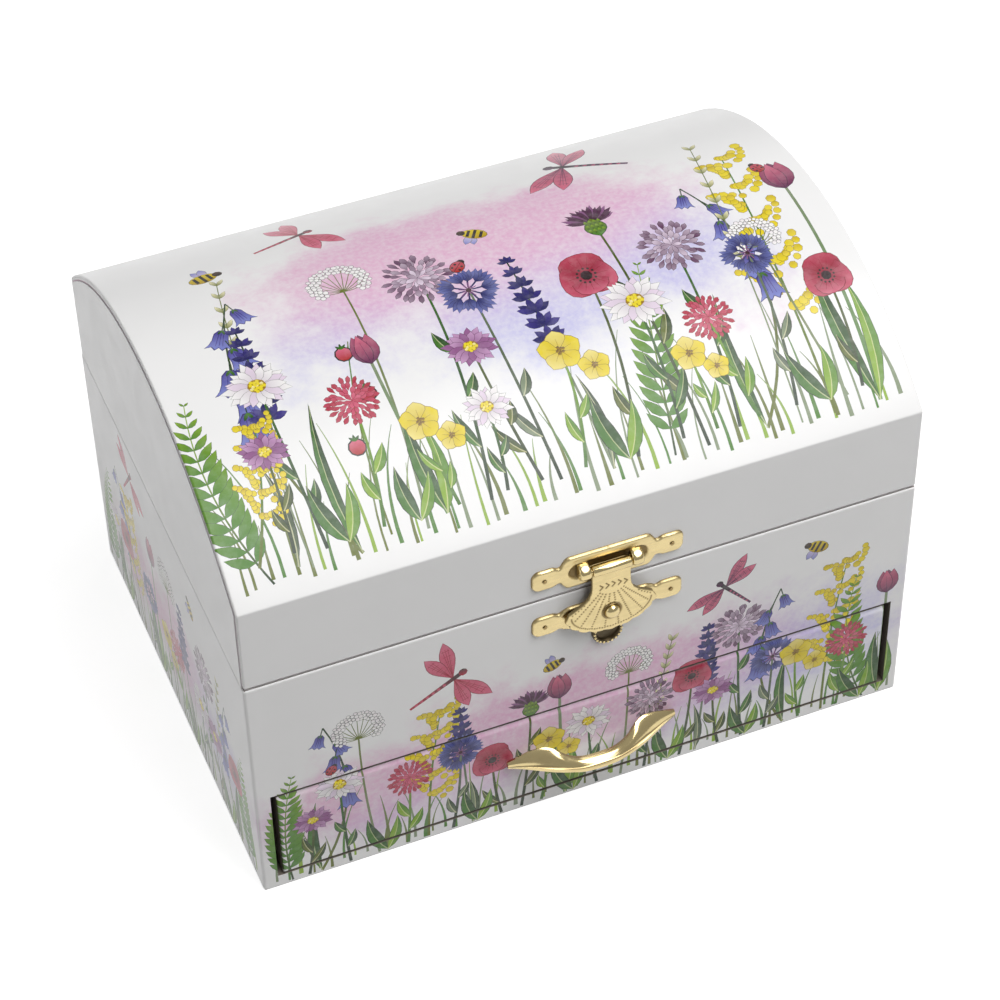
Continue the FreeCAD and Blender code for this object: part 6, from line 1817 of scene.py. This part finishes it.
def puffed(shape, voxel, most):
    """Fills a closed shape by cloth pressure and returns its new points and faces; most caps the movement."""
    work, faces = one_skin(shape, voxel)
    before = [v.co.copy() for v in work.data.vertices]
    after = before
    cloth = work.modifiers.new("cloth", "CLOTH")
    cloth.settings.use_pressure = True
    cloth.settings.uniform_pressure_force = 4.0
    cloth.settings.effector_weights.gravity = 0.0
    cloth.settings.quality = 5
    cloth.point_cache.frame_start, cloth.point_cache.frame_end = 1, SIM_STEPS
    scene = bpy.context.scene
    for step in range(1, SIM_STEPS + 1):
        scene.frame_set(step)
    result = work.evaluated_get(bpy.context.evaluated_depsgraph_get()).to_mesh()
    after = [v.co.copy() for v in result.vertices]
    scene.frame_set(1)
    bpy.data.objects.remove(work)
    cap = most * MM * SIM_SCALE
    spots = []
    for a, b in zip(before, after):
        shift = b - a
        if shift.length > cap:
            shift *= cap / shift.length
        spots.append((a + shift) / (MM * SIM_SCALE))
    return spots, faces


def ring_rolls():
    """Stuffed rolls that hold rings between them."""
    parts, ribs = [], 22
    for low, high in islands("ring_rolls"):
        radius = (high.z - low.z) / 2 - 0.5
        half = (high.x - low.x) / 2 - 0.3
        end = [(0.0, -half), (radius * 0.55, -half + 0.1), (radius * 0.85, -half + 0.7), (radius * 0.97, -half + 1.8)]
        waist = [(radius * (1 - 0.015 * (k % 2)), (-1 + 2 * k / ribs) * (half - 2.4)) for k in range(ribs + 1)]
        parts.append(lathe(end + waist + [(r, -h) for r, h in reversed(end)], (low + high) / 2, (1, 0, 0), 36))
    finish = velvet_finish("roll velvet", "roll")
    made = solid("ring_roll_pads", puffed(joined(*parts), 1.1, 0.42), "case", finish, ["ring_rolls"], 180)
    round_off = made.modifiers.new("smooth", "SUBSURF")
    round_off.levels = round_off.render_levels = 1


def lid_pad():
    """Quilted satin under the roof, drawn down by covered buttons."""
    half_x, half_y, top = mm("lid_lining")[1]
    frame_x, frame_y, _ = mm("mirror_frame")[1]
    outer = top - DOME_Z - 0.03
    inner = outer - 0.4
    lean = asin(half_y / outer)
    step = 24.0
    columns, rows = 128, 84

    def clear(x, s):
        """Distance from the mirror's frame."""
        return max(abs(x) - frame_x, abs(inner * sin(s / inner)) - frame_y)

    def under(x, radius, a):
        return Vector((x, radius * sin(a), DOME_Z + radius * cos(a)))

    def face(x, a):
        s, near = a * inner, min(half_x - abs(x), (lean - abs(a)) * inner)
        quilt = (abs(sin(pi * ((x + s) / step))) * abs(sin(pi * ((x - s) / step)))) ** 0.5
        puff = quilt * 1.6 * clamp((clear(x, s) - 1.0) / 5, 0, 1)
        return inner + drop(near, 1.0) * 0.8 - puff * clamp(near / 4, 0, 1)

    def corner(j, k, side):
        return side * (rows + 1) * (columns + 1) + j * (columns + 1) + k

    verts, faces = [], []
    for side in (0, 1):
        for a in (lean * (2 * j / rows - 1) for j in range(rows + 1)):
            for x in (half_x * (2 * k / columns - 1) for k in range(columns + 1)):
                verts.append(under(x, face(x, a) if side else outer, a))
        faces += [[corner(j, k, side), corner(j, k + 1, side), corner(j + 1, k + 1, side), corner(j + 1, k, side)]
                  for j in range(rows) for k in range(columns)]
    edge = [(0, k) for k in range(columns)] + [(j, columns) for j in range(rows)]
    edge += [(rows, k) for k in range(columns, 0, -1)] + [(j, 0) for j in range(rows, 0, -1)]
    faces += [[corner(*a, 0), corner(*b, 0), corner(*b, 1), corner(*a, 1)] for a, b in zip(edge, edge[1:] + edge[:1])]
    solid("lid_pad", (verts, faces), "lid", satin_finish(), ["lid_lining"], 70)
    spots, facing, margin = [], [], 4
    for p in range(-6, 7):
        for q in range(-6, 7):
            x, s = step * (p + q) / 2, step * (p - q) / 2
            if abs(x) < half_x - margin and abs(s) < lean * inner - margin and clear(x, s) > 2:
                a = s / inner
                spots.append(under(x, inner - 0.1, a))
                facing.append((0.0, -sin(a), -cos(a)))
    heads("lid_pad_buttons", spots, facing, 1.5, 0.5, satin_finish(), "lid", (), 3)


def mirror_frame():
    """Moulded frame with a bead border."""
    low, high = mm("mirror_frame")
    face, top, inner = low.z, high.z, 2.2
    profile = [(0.25, top), (0.0, top - 0.3), (0.0, face + 0.9), (0.35, face + 0.3), (0.8, face + 0.08),
               (1.2, face + 0.3), (1.6, face + 0.12), (2.0, face + 0.2), (inner, face + 0.35), (inner, top)]
    rings = [rounded_ring(low, high, inset, max(2.4 - inset, 0.4), z, 8) for inset, z in profile]
    solid("mirror_frame_moulded", hoop(rings), "lid", gilt_finish(), ["mirror_frame"], 50)
    path = rounded_ring(low, high, 0.55, 1.9, face + 0.16)
    spots, step, spare = [], 1.05, 0.0
    for a, b in zip(path, path[1:] + path[:1]):
        run = (b - a).length
        while spare < run:
            spots.append(a + (b - a) * (spare / run))
            spare += step
        spare -= run
    heads("mirror_beads", spots, [(0, 0, -1)] * len(spots), 0.42, 0.8, gilt_finish(), "lid", (), 1)


# Dancer.

GROW = 1.0562
SPINDLE_AT = complex(0.0, 11.95)
DANCER_AT = Vector((SPINDLE_AT.real, SPINDLE_AT.imag, 67.25))
SKIN, TIGHTS, SHOE, BODICE, HAIR, BASE = "f0c8a8", "f3d3d3", "d98aa2", "d990ae", "5a3a22", "f4f2ee"
LIMBS = (
    ((0, 0, 1.0), (0, 0, 5.6), 0.62, 1.05, TIGHTS), ((0, 0, 5.6), (0.2, 0, 12.4), 1.05, 1.42, TIGHTS),
    ((0, 0, 0.75), (0, 0, 2.4), 0.5, 0.74, SHOE), ((0.9, -0.2, 12.4), (5.6, -1.8, 9.8), 1.38, 0.98, TIGHTS),
    ((5.6, -1.8, 9.8), (1.9, -1.3, 6.4), 0.95, 0.62, TIGHTS), ((2.2, -1.35, 6.7), (1.1, -1.2, 5.3), 0.66, 0.42, SHOE),
    ((0.3, 0, 12.8), (0.2, 0, 15.6), 2.0, 1.5, BODICE), ((0.2, 0, 15.6), (0.2, 0, 17.8), 1.5, 1.85, BODICE),
    ((-0.7, -0.9, 17.6), (1.1, -0.9, 17.6), 0.95, 0.95, BODICE),
    ((-1.6, 0.05, 19.0), (2.0, 0.05, 19.0), 0.85, 0.85, SKIN),
    ((0.2, 0.1, 19.0), (0.2, 0, 22.2), 0.95, 0.75, SKIN), ((0.2, -0.1, 23.4), (0.2, 0.1, 23.9), 1.85, 2.0, SKIN),
    ((0.2, -0.75, 22.3), (0.2, -0.5, 22.9), 0.85, 1.2, SKIN), ((0.2, -2.0, 23.15), (0.2, -1.9, 23.6), 0.22, 0.14, SKIN),
    ((0.2, 0.5, 24.1), (0.2, 0.55, 24.3), 2.02, 1.95, HAIR), ((0.2, 0.9, 26.0), (0.2, 1.0, 26.4), 1.1, 0.95, HAIR),
    ((-1.9, 0, 19.2), (-4.8, -0.4, 24.2), 0.72, 0.6, SKIN), ((-4.8, -0.4, 24.2), (-1.6, -0.8, 30.0), 0.6, 0.42, SKIN),
    ((-1.6, -0.8, 30.0), (-0.9, -0.9, 31.5), 0.44, 0.3, SKIN), ((2.3, 0, 19.2), (5.2, -0.4, 24.2), 0.72, 0.6, SKIN),
    ((5.2, -0.4, 24.2), (2.0, -0.8, 30.0), 0.6, 0.42, SKIN), ((2.0, -0.8, 30.0), (1.3, -0.9, 31.5), 0.44, 0.3, SKIN),
)
FOOT_DISC = ((0.0, 0.54), (3.0, 0.54), (3.1, 0.44), (3.1, 0.0), (3.4, 0.0), (3.5, 0.12), (3.5, 0.62), (3.3, 0.85),
             (1.0, 0.9), (0.8, 1.05), (0.0, 1.05))
SASH = ((2.0, -0.55), (2.3, -0.5), (2.42, -0.1), (2.42, 0.3), (2.25, 0.65), (1.9, 0.7), (1.9, -0.5))


def on_dancer(spot):
    return DANCER_AT + Vector(spot) * GROW


def capsule(a, b, first, last):
    """A limb with round ends."""
    long = (b - a).length
    turns = [UP * k / 5 for k in range(6)]
    profile = [(first * sin(t), -first * cos(t)) for t in turns[:-1]] + [(first, 0.0), (last, long)]
    profile += [(last * cos(t), long + last * sin(t)) for t in turns[1:]]
    return lathe(profile, a, b - a, 20)


def dancer():
    """A doll on one toe, arms raised, painted in the colours of its limbs."""
    limbs = [(on_dancer(a), on_dancer(b), ra * GROW, rb * GROW, linear(shade)) for a, b, ra, rb, shade in LIMBS]
    work, faces = one_skin(joined(*(capsule(*limb[:4]) for limb in limbs)), 0.2, 5)
    spots = [v.co / (MM * SIM_SCALE) for v in work.data.vertices]
    bpy.data.objects.remove(work)
    shape = joined((spots, faces), lathe(FOOT_DISC, DANCER_AT, (0, 0, 1), 40))
    mesh = solid("dancer_doll", shape, "dancer", doll_finish(), ["dancer_figure"], 60, weld=1e-9).data
    shades = []
    for vert in mesh.vertices:
        p = vert.co / MM
        best, shade = 0.4, linear(BASE)
        for a, b, ra, rb, tint in limbs:
            run = b - a
            t = clamp((p - a).dot(run) / run.length_squared, 0, 1)
            far = (p - a - run * t).length - (ra + (rb - ra) * t)
            if far < best:
                best, shade = far, tint
        shades += [*shade, 1.0]
    tinted(mesh, "paint", shades, "POINT")
    eyes = [on_dancer((0.2 + side * 0.72, -1.72, 23.75)) for side in (-1, 1)]
    heads("dancer_eyes", eyes, [(0, -1, 0.05)] * 2, 0.27, 0.5,
          plastic_finish("eye paint", (0.03, 0.025, 0.03), 0.25), "dancer", (), 3)
    heads("dancer_lips", [on_dancer((0.2, -1.66, 22.45))], [(0, -1, -0.1)], 0.3, 0.45,
          plastic_finish("lip paint", (0.5, 0.08, 0.1), 0.3), "dancer", (), 3)


def tutu():
    """Four ruffled rounds of net gathered at the waist, under a sash."""
    low, high = mm("tutu")
    middle = (low + high) / 2
    reach, waist = (high.x - low.x) / 2, 2.0
    thick, count = 0.05, 288
    steps = [k / 12 for k in range(13)]

    def level(radius, a, z):
        return Vector((middle.x + radius * cos(a), middle.y + radius * sin(a), z))

    def ring(share, side, layer):
        rim, waves = reach - 0.45 * layer, 19 + 4 * layer
        spots = []
        for a in (TURN * k / count for k in range(count)):
            r = waist + (rim - waist) * share
            r *= 1 + 0.012 * share * sin(waves * a * 0.5 + layer)
            fold = 0.34 * share ** 1.4 * sin(waves * a + 1.7 * layer + 0.5 * sin(3 * a))
            z = high.z - 0.35 - 0.12 * layer - (0.1 + 0.42 * layer) * share ** 1.5 + fold + side * thick
            spots.append(level(r, a, z))
        return spots

    rounds = []
    for layer in range(4):
        upper, under = ([ring(t, side, layer) for t in steps] for side in (1, -1))
        rounds.append(hoop(upper + under[::-1]))
    made = solid("tutu_net", joined(*rounds), "dancer", net_finish(), ["tutu"], 80)
    rings = [[level(radius * GROW, TURN * k / 48, high.z + height) for k in range(48)] for radius, height in SASH]
    solid("tutu_sash", hoop(rings), "dancer", satin_finish(), (), 60)


# Finishes of the carried-over pieces.

PAPERED_INSIDE = (
    "lid_left_end", "lid_right_end", "lid_front_wall", "lid_back_wall", "lid_roof", "stage_partitions",
    "stage_front_wall", "dance_deck", "back_wall", "drawer_sides", "drawer_back", "drawer_floor",
)
POLISHED = ("winding_key", "pull_rivets", "great_wheel", "tune_cylinder")


def finish_nodes():
    by_slot = {
        "board": board_finish(), "brass": stamped_brass(), "steel": steel_finish(), "rubber": rubber_finish(),
        "mirror": mirror_finish(), "white_plastic": plastic_finish("white plastic", (0.82, 0.81, 0.79), 0.32),
        "printed_paper": printed_paper(), "velvet": velvet_finish(), "satin_pad": satin_finish(),
        "doll_plastic": doll_finish(), "net": net_finish(),
    }
    for name, node in NODES.items():
        finish = by_slot[node.data.materials[0].name.split(".")[0]]
        if name in PAPERED_INSIDE:
            finish = lining_paper()
        elif name in POLISHED:
            finish = polished_brass()
        node.material_slots[0].link = "OBJECT"
        node.material_slots[0].material = finish


# Stage.

LIGHTS = (
    ("top light", (0.45, -0.45, 1.35), 1.0, 1.0), ("front light", (0.4, -1.09, 1.21), 0.5, 0.125),
    ("side light", (-1.15, 0.05, 0.45), 0.6, 0.1), ("back light", (0.95, 1.05, 0.55), 0.6, 0.12),
)
AIM = Vector((0.0, 0.0, 0.05))
FLOOR_HALF = 3.0
CAMERA_AT = (-0.190497, -0.491978, 0.549319)
CAMERA_RIGHT = Vector((0.92524758, -0.37905719, -0.01524985))
CAMERA_DOWN = Vector((-0.27350136, -0.63865851, -0.71924426))
CAMERA_AHEAD = Vector((0.26289526, 0.66964987, -0.6945899))


def set_stage():
    scene = bpy.context.scene
    look = scene.box_stage
    scene.view_settings.view_transform = "Standard"
    camera = bpy.data.cameras.new("camera")
    camera.lens = 111.36
    camera.sensor_width = 36.0
    camera.clip_start = 0.01
    eye = new_object("camera", camera)
    turn = Matrix((CAMERA_RIGHT, -CAMERA_DOWN, -CAMERA_AHEAD)).transposed()
    eye.matrix_world = Matrix.Translation(CAMERA_AT) @ turn.to_4x4()
    scene.camera = eye

    def tree_of(holder):
        """The holder's emptied node tree, and what kind of ray asks."""
        holder.use_nodes = True
        holder.node_tree.nodes.clear()
        s = Shader(holder.node_tree)
        rays = s.node("ShaderNodeLightPath").outputs
        seen = s.math("MAXIMUM", rays["Is Camera Ray"], rays["Is Transmission Ray"])
        return s, seen, rays["Is Glossy Ray"]

    scene.world = bpy.data.worlds.new("studio")
    s, seen, mirrored_ray = tree_of(scene.world)
    seen = s.math("MAXIMUM", seen, s.times(mirrored_ray, look.mirrored))
    sky = s.node("ShaderNodeBackground", {"Color": WHITE, "Strength": s.math("MAXIMUM", seen, look.ambient)})
    s.node("ShaderNodeOutputWorld", {"Surface": sky.outputs[0]})

    mesh = bpy.data.meshes.new("floor")
    spots = corners(-FLOOR_HALF, FLOOR_HALF, -FLOOR_HALF, FLOOR_HALF)
    mesh.from_pydata([(p.real, p.imag, 0) for p in spots], [], [(0, 1, 2, 3)])
    new_object("floor", mesh)
    cover = bpy.data.materials.new("floor")
    s, seen, mirrored_ray = tree_of(cover)
    seen = s.math("MAXIMUM", seen, mirrored_ray)
    shade = s.node("ShaderNodeBsdfDiffuse", {"Color": tuple(look.floor)})
    light = s.node("ShaderNodeEmission", {"Color": WHITE, "Strength": s.times(seen, look.floor_glow)})
    both = s.node("ShaderNodeAddShader", {0: shade.outputs[0], 1: light.outputs[0]})
    s.node("ShaderNodeOutputMaterial", {"Surface": both.outputs[0]})
    mesh.materials.append(cover)

    for name, spot, size, share in LIGHTS:
        lamp = bpy.data.lights.new(name, "AREA")
        lamp.energy = look.key_power * share
        lamp.size = size
        turn = (AIM - Vector(spot)).to_track_quat("-Z", "Y").to_matrix().to_4x4()
        new_object(name, lamp).matrix_world = Matrix.Translation(spot) @ turn


# Steps.

class JEWELBOX_OT_papers(bpy.types.Operator):
    """Prints and lays the papers of the case, the lid and the drawer front"""
    bl_idname = "jewelbox.papers"
    bl_label = "Papers"

    def execute(self, context):
        papered_case()
        papered_lid()
        papered_drawer()
        return {"FINISHED"}


class JEWELBOX_OT_hasp(bpy.types.Operator):
    """Stamps the plates and the shell flap of the hasp, and turns its socket and knob"""
    bl_idname = "jewelbox.hasp"
    bl_label = "Hasp"

    def execute(self, context):
        hasp_plates()
        hasp_flap()
        return {"FINISHED"}


class JEWELBOX_OT_nails(bpy.types.Operator):
    """Sets the nails of the hasp and the hinges"""
    bl_idname = "jewelbox.nails"
    bl_label = "Nails"

    def execute(self, context):
        nails()
        return {"FINISHED"}


class JEWELBOX_OT_drawer_pull(bpy.types.Operator):
    """Bends the drawer's pull"""
    bl_idname = "jewelbox.drawer_pull"
    bl_label = "Drawer pull"

    def execute(self, context):
        drawer_pull()
        return {"FINISHED"}


class JEWELBOX_OT_linings(bpy.types.Operator):
    """Lays the flocked cloths of the trays, the stage and the drawer"""
    bl_idname = "jewelbox.linings"
    bl_label = "Linings"

    def execute(self, context):
        linings()
        return {"FINISHED"}


class JEWELBOX_OT_pads(bpy.types.Operator):
    """Stuffs the ring rolls and quilts the satin pad under the roof"""
    bl_idname = "jewelbox.pads"
    bl_label = "Pads"

    def execute(self, context):
        ring_rolls()
        lid_pad()
        return {"FINISHED"}


class JEWELBOX_OT_mirror_frame(bpy.types.Operator):
    """Moulds the mirror's frame"""
    bl_idname = "jewelbox.mirror_frame"
    bl_label = "Mirror frame"

    def execute(self, context):
        mirror_frame()
        return {"FINISHED"}


class JEWELBOX_OT_dancer(bpy.types.Operator):
    """Models and paints the dancer, and gathers the net skirt"""
    bl_idname = "jewelbox.dancer"
    bl_label = "Dancer"

    def execute(self, context):
        dancer()
        tutu()
        return {"FINISHED"}


class JEWELBOX_OT_finishes(bpy.types.Operator):
    """Finishes the boards, the hinges, the key and the movement"""
    bl_idname = "jewelbox.finishes"
    bl_label = "Finishes"

    def execute(self, context):
        finish_nodes()
        return {"FINISHED"}


class JEWELBOX_OT_stage(bpy.types.Operator):
    """Sets the camera, the floor and the lights"""
    bl_idname = "jewelbox.stage"
    bl_label = "Stage"

    def execute(self, context):
        set_stage()
        return {"FINISHED"}


STEPS = (
    JEWELBOX_OT_papers, JEWELBOX_OT_hasp, JEWELBOX_OT_nails, JEWELBOX_OT_drawer_pull, JEWELBOX_OT_linings,
    JEWELBOX_OT_pads, JEWELBOX_OT_mirror_frame, JEWELBOX_OT_dancer, JEWELBOX_OT_finishes, JEWELBOX_OT_stage,
)
SETTINGS = {
    "box_paper": BoxPaperSettings, "box_brass": BoxBrassSettings,
    "box_lining": BoxLiningSettings, "box_stage": BoxStageSettings,
}


class JEWELBOX_PT_panel(bpy.types.Panel):
    """Lists the settings of the box and the steps that build it"""
    bl_idname = "JEWELBOX_PT_panel"
    bl_label = "Jewellery Box"
    bl_space_type = "VIEW_3D"
    bl_region_type = "UI"
    bl_category = "Jewellery Box"

    def draw(self, context):
        for group in SETTINGS:
            settings = getattr(context.scene, group)
            for name in settings.bl_rna.properties.keys():
                if name not in ("rna_type", "name"):
                    self.layout.prop(settings, name)
        for step in STEPS:
            self.layout.operator(step.bl_idname)


CLASSES = (*SETTINGS.values(), *STEPS, JEWELBOX_PT_panel)


def register():
    for each in CLASSES:
        bpy.utils.register_class(each)
    for name, group in SETTINGS.items():
        setattr(bpy.types.Scene, name, bpy.props.PointerProperty(type=group))


def unregister():
    for name in SETTINGS:
        delattr(bpy.types.Scene, name)
    for each in reversed(CLASSES):
        bpy.utils.unregister_class(each)


def main():
    register()
    for step in STEPS:
        getattr(bpy.ops.jewelbox, step.bl_idname.split(".")[1])()


if __name__ == "__main__":
    main()
